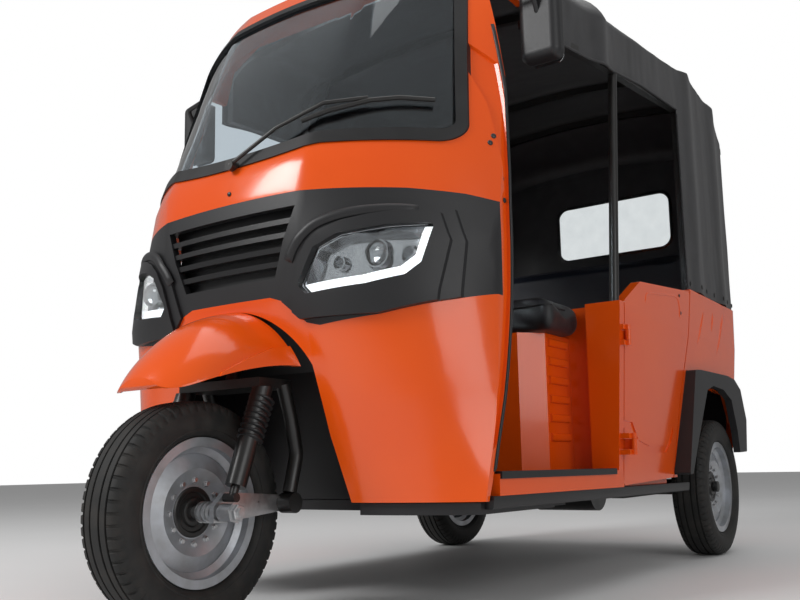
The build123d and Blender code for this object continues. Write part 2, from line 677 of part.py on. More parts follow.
def tyre():
    """Tyre as a hollow ring whose beads sit between the rim's flanges."""
    bead, half = RIM_RADIUS + RUNNING_GAP, TYRE_WIDTH / 2
    inner = RIM_WIDTH / 2 - 6.5
    wide, shoulder = (RIM_FLANGE_RADIUS + TYRE_RADIUS) / 2 - 4, TYRE_RADIUS - 14
    with BuildSketch() as sketch:
        with BuildLine():
            Polyline((bead, -inner + 14), (bead, -inner), (RIM_FLANGE_RADIUS + 2, -inner))
            ThreePointArc((RIM_FLANGE_RADIUS + 2, -inner), (wide, -half), (shoulder, -half + 8))
            ThreePointArc((shoulder, -half + 8), (TYRE_RADIUS - 4, -half + 17), (TYRE_RADIUS - 2, -half + 26))
            ThreePointArc((TYRE_RADIUS - 2, -half + 26), (TYRE_RADIUS, 0), (TYRE_RADIUS - 2, half - 26))
            ThreePointArc((TYRE_RADIUS - 2, half - 26), (TYRE_RADIUS - 4, half - 17), (shoulder, half - 8))
            ThreePointArc((shoulder, half - 8), (wide, half), (RIM_FLANGE_RADIUS + 2, inner))
            Polyline((RIM_FLANGE_RADIUS + 2, inner), (bead, inner), (bead, inner - 14))
            ThreePointArc((bead, inner - 14), (TYRE_RADIUS - 16, 0), (bead, -inner + 14))
        make_face()
    return Rot(0, 90, 0) * revolve(Plane.XZ * sketch.sketch, axis=Axis.Z)


def rear_axle():
    """Drive unit: axle tube with the motor block, the wheels' shafts and their brake plates."""
    centre = (0, WHEELBASE, TYRE_RADIUS)
    end = REAR_TRACK / 2 - HUB_DRUM_WIDTH / 2 - MOVING_GAP
    tube = Pos(*centre) * Rot(0, 90, 0) * Cylinder(AXLE_TUBE_RADIUS, 2 * end)
    shaft = Pos(*centre) * Rot(0, 90, 0) * Cylinder(SHAFT_RADIUS, REAR_TRACK + 90)
    plates = [Pos(s * (end - 3), WHEELBASE, TYRE_RADIUS) * Rot(0, 90, 0) * Cylinder(98, 6) for s in (-1, 1)]
    nuts = [Pos(s * (REAR_TRACK / 2 + 36), WHEELBASE, TYRE_RADIUS) * Rot(0, 90, 0) * Cylinder(NUT_RADIUS, 16)
            for s in (-1, 1)]
    motor = Pos(*centre) * Rot(0, 90, 0) * Cylinder(MOTOR_RADIUS, MOTOR_LENGTH)
    return Part() + [tube, shaft, motor] + plates + nuts


def arm_pivot(z0, z1):
    """Block at the front end of the left trailing arm, between two heights."""
    front = WHEELBASE - ARM_LENGTH
    return solid_box(ARM_X, ARM_X + ARM_SIZE, front - 40, front, z0, z1)


def trailing_arms():
    """Swinging arms from the chassis to the axle tube, left and right."""
    front, rear = WHEELBASE - ARM_LENGTH, WHEELBASE - AXLE_TUBE_RADIUS
    low, high = FLOOR_TOP - 100, FLOOR_TOP - FLOOR_THICKNESS - RAIL_SIZE - 1
    arm = side_view([(front, high), (front, low), (rear, TYRE_RADIUS - 24), (rear, TYRE_RADIUS + 24)],
                    ARM_X, ARM_X + ARM_SIZE)
    return both_sides(arm + arm_pivot(low, high))


def dampers():
    """Spring and damper units over the axle, left and right."""
    foot = TYRE_RADIUS + AXLE_TUBE_RADIUS
    leg = rod((DAMPER_X, WHEELBASE, foot + RUNNING_GAP), (DAMPER_X, WHEELBASE, DAMPER_TOP - RUNNING_GAP), 12)
    coil = rod((DAMPER_X, WHEELBASE, foot + 30), (DAMPER_X, WHEELBASE, DAMPER_TOP - 21), DAMPER_RADIUS)
    return both_sides(leg + coil)


def chassis():
    """Two rails with a raised tail, cross members, hangers and damper brackets."""
    half = RAIL_SIZE / 2
    top = FLOOR_TOP - FLOOR_THICKNESS
    low = top - RAIL_SIZE
    raised_top = RAIL_RAISED + RAIL_SIZE
    profile = [(RAIL_FRONT, low), (BENCH_FRONT + 20, low), (BENCH_FRONT + 110, RAIL_RAISED),
               (RAIL_REAR, RAIL_RAISED), (RAIL_REAR, raised_top),
               (BENCH_FRONT + 95, raised_top), (BENCH_FRONT + 6, top), (RAIL_FRONT, top)]
    rail = side_view(profile, RAIL_X - half, RAIL_X + half)
    near, far = WHEELBASE - 30, WHEELBASE + 30
    bracket = solid_box(RAIL_X + half, DAMPER_X + 36, near, far, DAMPER_TOP, DAMPER_TOP + 15)
    bracket += solid_box(RAIL_X + half - 10, RAIL_X + half + 2, near, far, raised_top, DAMPER_TOP + 15)
    front = WHEELBASE - ARM_LENGTH
    hanger = solid_box(RAIL_X - half, ARM_X + ARM_SIZE, front - 40, front, low - 1, low + 20)
    pieces = both_sides(rail) + both_sides(bracket) + both_sides(hanger)
    for y, z in ((RAIL_FRONT, low), (BULKHEAD_FRONT - 80, low), (front + 50, low), (BENCH_FRONT + 115, RAIL_RAISED),
                 (RAIL_REAR - RAIL_SIZE, RAIL_RAISED)):
        pieces.append(solid_box(-RAIL_X, RAIL_X, y, y + 40, z, z + RAIL_SIZE))
    return Part() + pieces


def steering_head():
    """Tube that holds the fork's stem, with the stay that ties it to the floor."""
    tube = steering_bar(STEM_RADIUS + HEAD_TUBE_WALL, HEAD_TUBE_LOW, HEAD_TUBE_TOP)
    tube -= steering_bar(STEM_RADIUS - STEM_WALL + RUNNING_GAP, HEAD_TUBE_LOW - 60, HEAD_TUBE_TOP + 60)
    back = steer_y(HEAD_TUBE_TOP)
    slope = LINER_REAR + 17
    stay = side_view([(back + 20, HEAD_TUBE_TOP - 20), (back + 20, HEAD_TUBE_TOP - 65), (slope - 90, LINER_TOP + 10),
                      (slope, LINER_TOP - 120), (slope, FLOOR_TOP), (slope + 40, FLOOR_TOP),
                      (slope + 40, LINER_TOP - 102), (slope - 60, LINER_TOP + 58)], -25, 25)
    return tube + stay


def floor_pan():
    """Floor plate of the cab and the passenger space, cut round the wheel liner."""
    low = FLOOR_TOP - FLOOR_THICKNESS
    plate = solid_box(-FLOOR_HALF, FLOOR_HALF, 250, HOUSING_FRONT - PANEL_SEAM, low, FLOOR_TOP)
    half = HOUSING_INNER - PANEL_SEAM
    plate += solid_box(-half, half, HOUSING_FRONT - 2, BENCH_FRONT + 4, low, FLOOR_TOP)
    plate -= solid_box(-LINER_HALF - 1, LINER_HALF + 1, 0, LINER_REAR + 1, 200, 500)
    front = solid_box(-700, 700, 0, 600, 200, 500)
    return (plate - front) + (plate & front & cab_form(CAB_WALL + PANEL_SEAM))


def side_sills():
    """Sills under the door openings, left and right."""
    rear = BULKHEAD_FRONT + BULKHEAD_THICKNESS
    inner, under_door = FLOOR_HALF + 2, side_x(FLOOR_TOP) - DOOR_THICKNESS - SILL_CLEARANCE
    outer = side_x(FLOOR_TOP)
    plan = make_face(Polyline((inner, 380), (outer - 11, 380), (outer, BULKHEAD_FRONT), (outer, rear),
                              (under_door, rear), (under_door, HOUSING_FRONT - 1), (inner, HOUSING_FRONT - 1),
                              close=True))
    sill = extrude(Plane.XY.offset(SILL_BOTTOM) * plan, FLOOR_TOP - SILL_BOTTOM)
    sill -= cab_form(-PANEL_SEAM) - door_edge_cut()
    return both_sides(sill)


def under_skirt():
    """Dark tray under the cowl, open round the front wheel."""
    row = CAB_SECTIONS[0]
    tray = extrude(cab_section(row, 16), -(CAB_BOTTOM - SKIRT_BOTTOM))
    tray += solid_box(-540, 540, 600, SKIRT_REAR, SKIRT_BOTTOM, CAB_BOTTOM - 4)
    tray -= solid_box(-LINER_HALF - 1, LINER_HALF + 1, 0, LINER_REAR + 1, 200, 500)
    rail_low = FLOOR_TOP - FLOOR_THICKNESS - RAIL_SIZE
    return tray & solid_box(-700, 700, 0, SKIRT_REAR, SKIRT_BOTTOM, rail_low - PANEL_SEAM)


def dashboard():
    """Shelf below the windscreen, across the cab."""
    shelf = solid_box(-500, 500, 60, 360, BAR_HEIGHT + 50, SCREEN_BOTTOM - 8)
    shelf = fillet(shelf.edges().filter_by(Axis.X).group_by(Axis.Y)[-1], 20)
    return shelf & cab_form(CAB_WALL + PANEL_SEAM)


def seat_box():
    """Sheet-metal box that carries the driver's cushion, with ribs pressed in its sides."""
    rear = BULKHEAD_FRONT + BULKHEAD_SET_BACK - PANEL_SEAM
    def plan(inset, low, high):
        half, front, cut = SEAT_BOX_HALF - inset, SEAT_BOX_FRONT + inset, SEAT_BOX_CHAMFER
        points = [(half, rear - inset), (half, front + cut), (half - cut, front), (cut - half, front),
                  (-half, front + cut), (-half, rear - inset)]
        return extrude(Plane.XY.offset(low) * make_face(Polyline(*points, close=True)), high - low)
    box = plan(0, FLOOR_TOP, SEAT_BOX_TOP) - plan(SEAT_BOX_WALL, FLOOR_TOP - 1, SEAT_BOX_TOP - SEAT_BOX_WALL)
    for number in range(SEAT_RIBS):
        low = SEAT_RIB_LOW + number * SEAT_RIB_PITCH
        rib = solid_box(SEAT_BOX_HALF - 1, SEAT_BOX_HALF + SEAT_RIB_PROUD, SEAT_BOX_FRONT + SEAT_BOX_CHAMFER + 14,
                        rear - 30, low, low + SEAT_RIB_HEIGHT)
        rib = fillet(rib.edges().filter_by(Axis.Y).group_by(Axis.X)[-1], 6)
        for piece in both_sides(rib):
            box += piece
    return box


def cushion(x, y0, y1, z0, z1, radius):
    """A soft block with rounded edges."""
    block = solid_box(-x, x, y0, y1, z0, z1)
    return fillet(block.edges(), radius)


def hinge_leaf(y0, y1, z0, z1):
    """Hinge leaf from the body's side out to the hinge's line, left side."""
    return solid_box(BODY_HALF - DOOR_THICKNESS, BODY_HALF + 6, y0, y1, z0, z1)


def bulkhead():
    """Wall behind the driver's seat with its door posts."""
    rear = BULKHEAD_FRONT + BULKHEAD_THICKNESS
    set_back = BULKHEAD_FRONT + BULKHEAD_SET_BACK
    inner = BODY_HALF - PILLAR_WIDTH
    outline = [(inner, FLOOR_TOP), (side_x(FLOOR_TOP), FLOOR_TOP), (BODY_HALF, TUCK_TOP), (BODY_HALF, BULKHEAD_TOP),
               (inner, BULKHEAD_TOP)]
    pillar = front_view(outline, BULKHEAD_FRONT, rear)
    pillar += solid_box(inner, inner + 30, BULKHEAD_FRONT, set_back + BULKHEAD_SHEET, FLOOR_TOP, BULKHEAD_TOP)
    for height in HINGE_HEIGHTS:
        for z0 in (height - HINGE_LEAF / 2 - 16, height + HINGE_LEAF / 2 + 1):
            pillar += hinge_leaf(rear - 30, HINGE_Y, z0, z0 + 15)
            pillar += Pos(HINGE_X, HINGE_Y, z0 + 7.5) * Cylinder(HINGE_RADIUS, 15)
        pillar += Pos(HINGE_X, HINGE_Y, height) * Cylinder(HINGE_PIN, 2 * HINGE_LEAF + 2)
    wall = solid_box(-inner - 1, inner + 1, set_back, set_back + BULKHEAD_SHEET, FLOOR_TOP, BULKHEAD_TOP)
    return Part() + [wall] + both_sides(pillar)


def half_door():
    """Left half door with its hinge leaves, tucked in towards the sill."""
    outline = [(DOOR_FRONT, DOOR_BOTTOM), (DOOR_FRONT, DOOR_TOP_FRONT), (DOOR_RISE_Y, DOOR_RISE_TOP)] + DOOR_REAR
    low, high = side_x(DOOR_BOTTOM), DOOR_TOP_REAR + 10
    band = [(low, DOOR_BOTTOM), (BODY_HALF, TUCK_TOP), (BODY_HALF, high)]
    inner = [(x - DOOR_THICKNESS, z) for x, z in reversed(band)]
    y_end = DOOR_REAR[0][0] + 10
    skin = front_view(band + inner, DOOR_FRONT - 10, y_end)
    door = skin & side_view(outline, low - 2 * DOOR_THICKNESS, BODY_HALF + 1, 12)
    groove = [(x - CREASE_DEPTH, z) for x, z in band] + [(x + 5, z) for x, z in reversed(band)]
    crease = DOOR_CREASE + [(y, z - CREASE_WIDTH) for y, z in reversed(DOOR_CREASE)]
    door -= front_view(groove, DOOR_FRONT - 10, y_end) & side_view(crease, low - DOOR_THICKNESS, BODY_HALF + 10)
    for height in HINGE_HEIGHTS:
        leaf = hinge_leaf(HINGE_Y, DOOR_FRONT + 40, height - HINGE_LEAF / 2, height + HINGE_LEAF / 2)
        knuckle = Pos(HINGE_X, HINGE_Y, height) * Cylinder(HINGE_RADIUS, HINGE_LEAF)
        clear = solid_box(BODY_HALF - 60, HINGE_X - HINGE_RADIUS - 2, HINGE_Y - 20, DOOR_FRONT, 0, 1000)
        door = door + (leaf - clear) + knuckle
        door -= Pos(HINGE_X, HINGE_Y, height) * Cylinder(HINGE_PIN + RUNNING_GAP / 2, 200)
    return door


def rear_y(height):
    """Lengthwise place of the tail panel's outer face at a height."""
    return REAR_FACE - REAR_LEAN * (BELT_HEIGHT - height) / (BELT_HEIGHT - REAR_BOTTOM)


@lru_cache(maxsize=None)
def rear_form(inset):
    """The rear body's outer form as one solid, or a smaller one inside it."""
    faces = []
    for height in (REAR_BOTTOM - 110, TUCK_TOP, BELT_HEIGHT):
        half, rear = side_x(height) - inset, rear_y(height) - inset
        points = [(half, 1500), (half, rear), (-half, rear), (-half, 1500)]
        face = Plane.XY.offset(height) * make_face(Polyline(*points, close=True))
        corners = face.vertices().filter_by(lambda v: v.Y > 2000)
        faces.append(fillet(corners, REAR_CORNER - inset))
    return loft(faces, ruled=True)


def behind_axle(points, x0, x1, corner=0):
    """A prism along X whose outline is given from the rear axle."""
    return side_view([(WHEELBASE + y, z) for y, z in points], x0, x1, corner)


def rear_panels():
    """Side panels behind the half doors and the panel across the tail."""
    shell = rear_form(0) - rear_form(SIDE_WALL)
    shell &= solid_box(-700, 700, 1500, 2600, SILL_BOTTOM + 20, BELT_HEIGHT)
    shell -= solid_box(-700, 700, WHEELBASE + 150, 2600, 0, REAR_BOTTOM)
    edge = [(y + DOOR_GAP, z) for y, z in DOOR_REAR]
    door_side = [(1400, 1000), (edge[0][0], 1000)] + edge + [(edge[-1][0], 200), (1400, 200)]
    shell -= side_view(door_side, -700, 700)
    shell -= behind_axle(ARCH, -700, 700, 20)
    inner = BODY_HALF - REAR_CORNER - 5
    middle = solid_box(-inner, inner, WHEELBASE + 110, 2600, 200, 1000)
    return (shell - middle).solids(), shell & middle


def flares():
    """Dark plastic arches round the rear wheel openings, left and right."""
    band = [BODY_HALF, BODY_HALF + FLARE_PROUD]
    flare = behind_axle(FLARE_OUTER, *band, 8) - behind_axle(FLARE_INNER, BODY_HALF - 60, BODY_HALF + 60)
    seat = behind_axle(FLARE_OUTER, side_x(REAR_BOTTOM - 110), BODY_HALF + 1, 8)
    seat = seat - behind_axle(FLARE_INNER, 0, BODY_HALF + 60) - behind_axle(ARCH, 0, BODY_HALF + 60, 20)
    return both_sides(flare + (seat - rear_form(-PANEL_SEAM)))


def wheel_housings():
    """Inner arches that close the rear wheels off from the cabin, left and right."""
    wall, top = HOUSING_WALL, HOUSING_FRONT + HOUSING_SLANT
    outer = side_view([(HOUSING_FRONT, FLOOR_TOP), (top, HOUSING_TOP), (HOUSING_REAR, HOUSING_TOP),
                       (HOUSING_REAR, REAR_BOTTOM + 2)], HOUSING_INNER, BODY_HALF)
    inner = side_view([(HOUSING_FRONT + 2 * wall, FLOOR_TOP - 40), (top + wall, HOUSING_TOP - wall),
                       (HOUSING_REAR - wall, HOUSING_TOP - wall), (HOUSING_REAR - wall, FLOOR_TOP - 45)],
                      HOUSING_INNER + wall, BODY_HALF)
    return both_sides((outer - inner) & rear_form(SIDE_WALL + 0.5))


def bench_base():
    """Box under the passengers' bench, closed in front and on top."""
    half, rear = HOUSING_INNER - PANEL_SEAM, WHEELBASE + 240
    low = RAIL_RAISED + RAIL_SIZE + 5
    box = solid_box(-half, half, BENCH_FRONT + 4, rear, low, BENCH_TOP)
    box += solid_box(-half, half, BENCH_FRONT + 4, BENCH_FRONT + 10, FLOOR_TOP, low + 2)
    return box - solid_box(6 - half, half - 6, BENCH_FRONT + 10, rear - 6, low - 30, BENCH_TOP - 6)


def tail_pieces():
    """Tail lamps, the blank plate and the bumper bar with its brackets."""
    proud = rear_form(-LAMP_TAIL_DEPTH) - rear_form(0)
    lamps = both_sides(proud & solid_box(BODY_HALF - 210, BODY_HALF - 110, 2200, 2600, 690, 860))
    low, high = rear_y(PLATE_BOTTOM) + RUNNING_GAP, rear_y(PLATE_BOTTOM + PLATE_HEIGHT) + RUNNING_GAP
    plate = side_view([(low, PLATE_BOTTOM), (low + PLATE_THICKNESS, PLATE_BOTTOM),
                       (high + PLATE_THICKNESS, PLATE_BOTTOM + PLATE_HEIGHT), (high, PLATE_BOTTOM + PLATE_HEIGHT)],
                      -PLATE_HALF, PLATE_HALF)
    bar = rod((-BUMPER_HALF, BUMPER_Y, BUMPER_HEIGHT), (BUMPER_HALF, BUMPER_Y, BUMPER_HEIGHT), BUMPER_RADIUS)
    low = RAIL_RAISED
    bracket = side_view([(RAIL_REAR - 50, low), (RAIL_REAR, low), (BUMPER_Y, low - 20), (BUMPER_Y, low - 50),
                         (RAIL_REAR - 50, low - 30)], RAIL_X - 10, RAIL_X + 10)
    return lamps, plate, Part() + [bar] + both_sides(bracket)


def canopy_section(row, inset):
    """One cross section of the canopy, moved inwards by an inset."""
    y, half, shoulder, crown = row
    half, shoulder, crown = half - inset, shoulder - inset * 0.4, crown - inset
    side = half - SHOULDER_INSET
    level = crown - SHOULDER_DROP
    middle = (half - SHOULDER_ROUND, shoulder + (level - shoulder) * 0.66)
    place = Plane.XZ.offset(-y + (inset if y == CANOPY_SECTIONS[-1][0] else 0))
    foot = BELT_HEIGHT + PANEL_SEAM
    with BuildSketch(place) as sketch:
        with BuildLine():
            Polyline((half, shoulder), (half, foot), (-half, foot), (-half, shoulder))
            ThreePointArc((-half, shoulder), (-middle[0], middle[1]), (-side, level))
            ThreePointArc((-side, level), (0, crown), (side, level))
            ThreePointArc((side, level), middle, (half, shoulder))
        make_face()
    return sketch.sketch


def canopy_row(y):
    """The canopy's cross section at a place between two of the listed ones."""
    after = [i for i, row in enumerate(CANOPY_SECTIONS) if row[0] >= y][0]
    low, high = CANOPY_SECTIONS[after - 1], CANOPY_SECTIONS[after]
    share = (y - low[0]) / (high[0] - low[0])
    return (y, *[a + (b - a) * share for a, b in zip(low[1:], high[1:])])


@lru_cache(maxsize=None)
def canopy_form(inset):
    """The canopy's outer form down to the belt, or a smaller one inside it."""
    return loft([canopy_section(row, inset) for row in CANOPY_SECTIONS], ruled=True)


def side_opening():
    """The open side between cab and rear quarter, below the canopy's hem, through the width."""
    points = [(CANOPY_HEM[0][0], BELT_HEIGHT - 60)] + CANOPY_HEM + [(QUARTER_FRONT, BELT_HEIGHT - 60)]
    return side_view(points, -800, 800)


def window_zone(grow):
    """The rear window's outline as a prism along Y."""
    left, right = WINDOW_X + WINDOW_HALF + grow, WINDOW_X - WINDOW_HALF - grow
    low, top = WINDOW_BOTTOM - grow, WINDOW_TOP + grow
    points = [(left, low), (left, top), (right, top), (right, low)]
    return front_view(points, WHEELBASE + 210, REAR_FACE + 100, WINDOW_CORNER + grow)


def hem_rail():
    """Square tube along the canopy's hem on the left side."""
    half = CANOPY_RAIL_WIDTH / 2
    faces = []
    for x, y, z in CANOPY_RAIL:
        faces.append(Plane.XZ.offset(-y) * (Pos(x, z) * Rectangle(2 * half, 2 * half)))
    return loft(faces, ruled=True)


def canopy_pieces():
    """Canopy cover, its rear window and the tube frame that carries it."""
    cover = canopy_form(0) - canopy_form(CANOPY_WALL)
    cover -= side_opening()
    cover -= window_zone(0)
    pane = canopy_form(CANOPY_WALL + 0.3) - canopy_form(CANOPY_WALL + 0.3 + WINDOW_THICKNESS)
    pane &= window_zone(WINDOW_OVERLAP)
    skin = CANOPY_WALL + BOW_CLEARANCE
    line = [(y, z) for x, y, z in CANOPY_RAIL]
    above = side_view(line + [(line[-1][0], 2000), (line[0][0], 2000)], -BODY_HALF, BODY_HALF)
    parts = []
    for station in BOW_STATIONS:
        row = canopy_row(station)
        outside = extrude(canopy_section(row, skin), BOW_RADIUS, both=True)
        inside = extrude(canopy_section(row, skin + 2 * BOW_RADIUS), 2 * BOW_RADIUS, both=True)
        parts.append((outside - inside) & above)
    half = CANOPY_RAIL_WIDTH / 2
    x, y, z = CANOPY_RAIL[2]
    leg = solid_box(x - half, x + half, y, y + 2 * half, BELT_HEIGHT + 1, z)
    parts += both_sides(hem_rail() + leg)
    return cover, pane, Part() + parts


def roof_post(frame):
    """Round post from the left door pillar to the rail under the canopy's hem."""
    (x0, y0, z0), (x1, y1, z1) = CANOPY_RAIL[1], CANOPY_RAIL[2]
    share = (POST_HEAD_Y - y0) / (y1 - y0)
    head = (x0 + (x1 - x0) * share, POST_HEAD_Y, z0 + (z1 - z0) * share)
    foot = (BODY_HALF - 24, POST_FOOT_Y, BULKHEAD_TOP - 10)
    post = rod(foot, head, POST_RADIUS)
    return (post - frame) & solid_box(0, BODY_HALF, 0, 2000, BULKHEAD_TOP + PANEL_SEAM, head[2])


def mirrors():
    """Rear-view mirrors on arms from the door pillars, left and right."""
    x, y, z = MIRROR_X, MIRROR_Y, MIRROR_BOTTOM + MIRROR_HEIGHT / 2
    shell = solid_box(x - MIRROR_WIDTH / 2, x + MIRROR_WIDTH / 2, y, y + MIRROR_DEPTH,
                      MIRROR_BOTTOM, MIRROR_BOTTOM + MIRROR_HEIGHT)
    shell = fillet(shell.edges(), 22)
    path = [(x, y + 20, z), (x, y - 22, z + 70), (x - 100, y - 38, z + 78)]
    arm = bent_tube(path, MIRROR_ARM_RADIUS, 2 * MIRROR_ARM_RADIUS)
    return both_sides(shell + (arm - cab_form(0)))


def save(name, piece):
    """Move a finished piece to the middle of the length and write it to its own file."""
    solids = piece if isinstance(piece, list) else [piece]
    flat = [s for p in solids for s in p.solids()]
    moved = [Pos(0, -MIDDLE, 0) * s for s in flat]
    shape = moved[0] if len(moved) == 1 else Compound(children=moved)
    export_step(shape, f"parts/{name}.step")


os.makedirs("parts", exist_ok=True)

lower, mask, upper, seal, glass = cab_panels()
housing, lens, strip = lamp_pieces()
mask -= grille_zone(0)
for zone in both_sides(lamp_zone()):
    mask -= zone
cover, pane, frame = canopy_pieces()
save("lower_cowl", lower)
save("windscreen_frame", upper - cover)
save("windscreen_seal", seal)
save("windscreen_glass", glass)
save("front_mask", mask)
save("grille", grille_pieces())
save("headlamp_housings", both_sides(housing))
save("headlamp_lenses", both_sides(lens))
save("headlamp_strips", both_sides(strip))
save("wiper", wiper())
save("mudguard", mudguard())
save("wheel_liner", wheel_liner())
save("dashboard", dashboard())

fork, links = fork_pieces()
save("steering_fork", fork)
save("fork_links", links)
save("fork_struts", both_sides(fork_strut()))
save("handlebar", handlebar())
save("steering_head", steering_head())

save("chassis", chassis())
save("floor_pan", floor_pan())
save("side_sills", side_sills())
save("under_skirt", under_skirt())
save("driver_seat_box", seat_box())
seat_rear = BULKHEAD_FRONT + BULKHEAD_SET_BACK - PANEL_SEAM
seat_top = SEAT_BOX_TOP + PANEL_SEAM
save("driver_cushion", cushion(CUSHION_HALF, CUSHION_FRONT, seat_rear, seat_top, seat_top + CUSHION_HEIGHT,
                               CUSHION_ROUND))
save("bulkhead", bulkhead())
save("roof_posts", both_sides(roof_post(frame)))
door = half_door()
save("half_door_left", door)
save("half_door_right", mirror(door, about=Plane.YZ))

sides, tail = rear_panels()
save("side_panels", list(sides))
save("rear_panel", tail)
lamps, plate, bumper = tail_pieces()
save("tail_lamps", lamps)
save("number_plate", plate)
save("rear_bumper", bumper)
save("wheel_flares", flares())
save("wheel_housings", wheel_housings())
save("bench_base", bench_base())
bench_top = BENCH_TOP + PANEL_SEAM
save("bench_cushion", cushion(BENCH_HALF, BENCH_FRONT - 25, WHEELBASE + 190, bench_top, bench_top + BENCH_CUSHION,
                              BENCH_ROUND))
back_low = BENCH_TOP + BENCH_CUSHION + 6
back_rear = rear_y(back_low + BENCH_ROUND) - SIDE_WALL - 0.8
save("bench_back", cushion(BENCH_HALF - 20, back_rear - BACK_THICKNESS, back_rear, back_low, BACK_TOP, BENCH_ROUND))
save("canopy_cover", cover)
save("canopy_frame", frame)
save("rear_window", pane)
save("mirrors", mirrors())
raised_top = RAIL_RAISED + RAIL_SIZE
save("battery", solid_box(-BATTERY_HALF, BATTERY_HALF, BENCH_FRONT + 112, RAIL_REAR - 4, raised_top,
                          raised_top + BATTERY_HEIGHT))
save("drive_unit", rear_axle())
save("trailing_arms", trailing_arms())
save("dampers", dampers())

save("front_rim", Pos(0, 0, TYRE_RADIUS) * rim(1))
save("front_tyre", Pos(0, 0, TYRE_RADIUS) * tyre())
for side, name in ((1, "left"), (-1, "right")):
    place = Pos(side * REAR_TRACK / 2, WHEELBASE, TYRE_RADIUS)
    save(f"rear_rim_{name}", place * rim(side))
    save(f"rear_tyre_{name}", place * tyre())
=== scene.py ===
# %% [markdown]
# # An electric three-wheeler with a soft canopy
# The solids of this vehicle were drawn as exact parts, and they come in here as a fixed
# frame. This lesson gives them their finishes, adds the pieces that are too small or too
# soft for exact solids, and lights the whole as in a studio. Each step first says what the
# thing is on the real vehicle, then how it is made here.

# %% Load the frame
import bpy
import bmesh
import math
from contextlib import contextmanager
from mathutils import Matrix, Vector, noise
from mathutils.bvhtree import BVHTree


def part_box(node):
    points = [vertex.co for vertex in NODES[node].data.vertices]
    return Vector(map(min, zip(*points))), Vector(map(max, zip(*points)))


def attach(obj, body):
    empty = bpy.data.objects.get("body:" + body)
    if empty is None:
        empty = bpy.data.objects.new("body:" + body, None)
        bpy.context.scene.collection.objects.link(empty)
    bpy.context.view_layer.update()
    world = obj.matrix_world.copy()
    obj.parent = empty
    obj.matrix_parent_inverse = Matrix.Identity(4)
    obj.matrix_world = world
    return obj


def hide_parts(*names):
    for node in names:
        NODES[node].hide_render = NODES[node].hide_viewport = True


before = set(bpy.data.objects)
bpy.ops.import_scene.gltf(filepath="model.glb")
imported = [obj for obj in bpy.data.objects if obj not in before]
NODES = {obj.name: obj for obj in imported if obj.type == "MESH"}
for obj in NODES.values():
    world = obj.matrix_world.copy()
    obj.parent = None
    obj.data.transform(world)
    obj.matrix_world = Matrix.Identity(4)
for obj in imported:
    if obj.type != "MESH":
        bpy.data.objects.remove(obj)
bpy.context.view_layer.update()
print("frame holds", len(NODES), "pieces")

# %% [markdown]
# ## Colours and nodes
# A colour picked on a screen is an sRGB hex value, while a shader wants linear light. One
# function turns one into the other. A second function adds a shader node: it sets the
# node's own settings, fills its inputs with numbers, colours or another node's output, and
# links its outputs to where they go. Patterns are given by their real size in millimetres,
# and a noise of scale 1 repeats about once a metre, so the scale is 1000 over the size.
#
# No real surface has one even colour, so each finish begins as a patchy ground: a noise
# mixes two near colours, and may drive the roughness between two values and a second,
# finer noise may lift the surface. What only one material has is added to that.

# %% Colour and node helpers
def linear(hex_value):
    """An sRGB hex colour as linear red, green, blue and an alpha of 1."""
    parts = [int(hex_value[i:i + 2], 16) / 255 for i in (0, 2, 4)]
    return tuple(c / 12.92 if c <= 0.04045 else ((c + 0.055) / 1.055) ** 2.4 for c in parts) + (1.0,)


def add(tree, kind, inputs=None, feeds=(), **settings):
    """Adds one node, sets it up, fills its inputs and links its outputs to other sockets."""
    made = tree.nodes.new(kind)
    for name, value in settings.items():
        setattr(made, name, value)
    for name, value in (inputs or {}).items():
        if isinstance(value, bpy.types.NodeSocket):
            tree.links.new(value, made.inputs[name])
        else:
            made.inputs[name].default_value = value
    for output, socket in feeds:
        tree.links.new(made.outputs[output], socket)
    return made


def per_metre(size_mm):
    """The texture scale whose pattern repeats about every size_mm millimetres."""
    return 1000 / size_mm


def patchy(name, patch_mm, detail, colours, gloss=None, reach=None, grain=None, **shader_values):
    """A finish in soft patches: reach narrows the noise for the colours, gloss is the roughness
    from and to, and grain is the size, detail, depth and strength of a fine relief."""
    finish = bpy.data.materials.new(name)
    finish.use_nodes = True
    tree = finish.node_tree
    shader = tree.nodes["Principled BSDF"].inputs
    for key, value in shader_values.items():
        shader[key.replace("_", " ")].default_value = value
    place = add(tree, "ShaderNodeTexCoord").outputs["Object"]
    patch = add(tree, "ShaderNodeTexNoise", {"Vector": place, "Scale": per_metre(patch_mm), "Detail": detail})
    patch = share = patch.outputs["Fac"]
    if reach:
        share = add(tree, "ShaderNodeMapRange", {"Value": patch, "From Min": reach[0], "From Max": reach[1]}).outputs[0]
    add(tree, "ShaderNodeMix", {0: share, 6: linear(colours[0]), 7: linear(colours[1])},
        [(2, shader["Base Color"])], data_type="RGBA")
    if gloss:
        add(tree, "ShaderNodeMapRange", {"Value": patch, "To Min": gloss[0], "To Max": gloss[1]},
            [(0, shader["Roughness"])])
    if grain:
        size_mm, fineness, depth_mm, strength = grain
        fine = add(tree, "ShaderNodeTexNoise", {"Vector": place, "Scale": per_metre(size_mm), "Detail": fineness})
        add(tree, "ShaderNodeBump", {"Height": fine.outputs["Fac"], "Distance": depth_mm / 1000, "Strength": strength},
            [(0, shader["Normal"])])
    return finish, tree, shader, place


print("helpers ready; a 2 mm grain has scale", per_metre(2))

# %% [markdown]
# ## Painted steel
# The cab, doors and rear body are pressed steel sheet, sprayed with an orange enamel and
# left glossy. Sprayed enamel never dries mirror flat: it keeps a shallow waviness, called
# orange peel, about 4 mm from crest to crest, and the pressed sheet under it is wavy over a
# hand's width. Both bend the reflections a little, so they go into one bump.

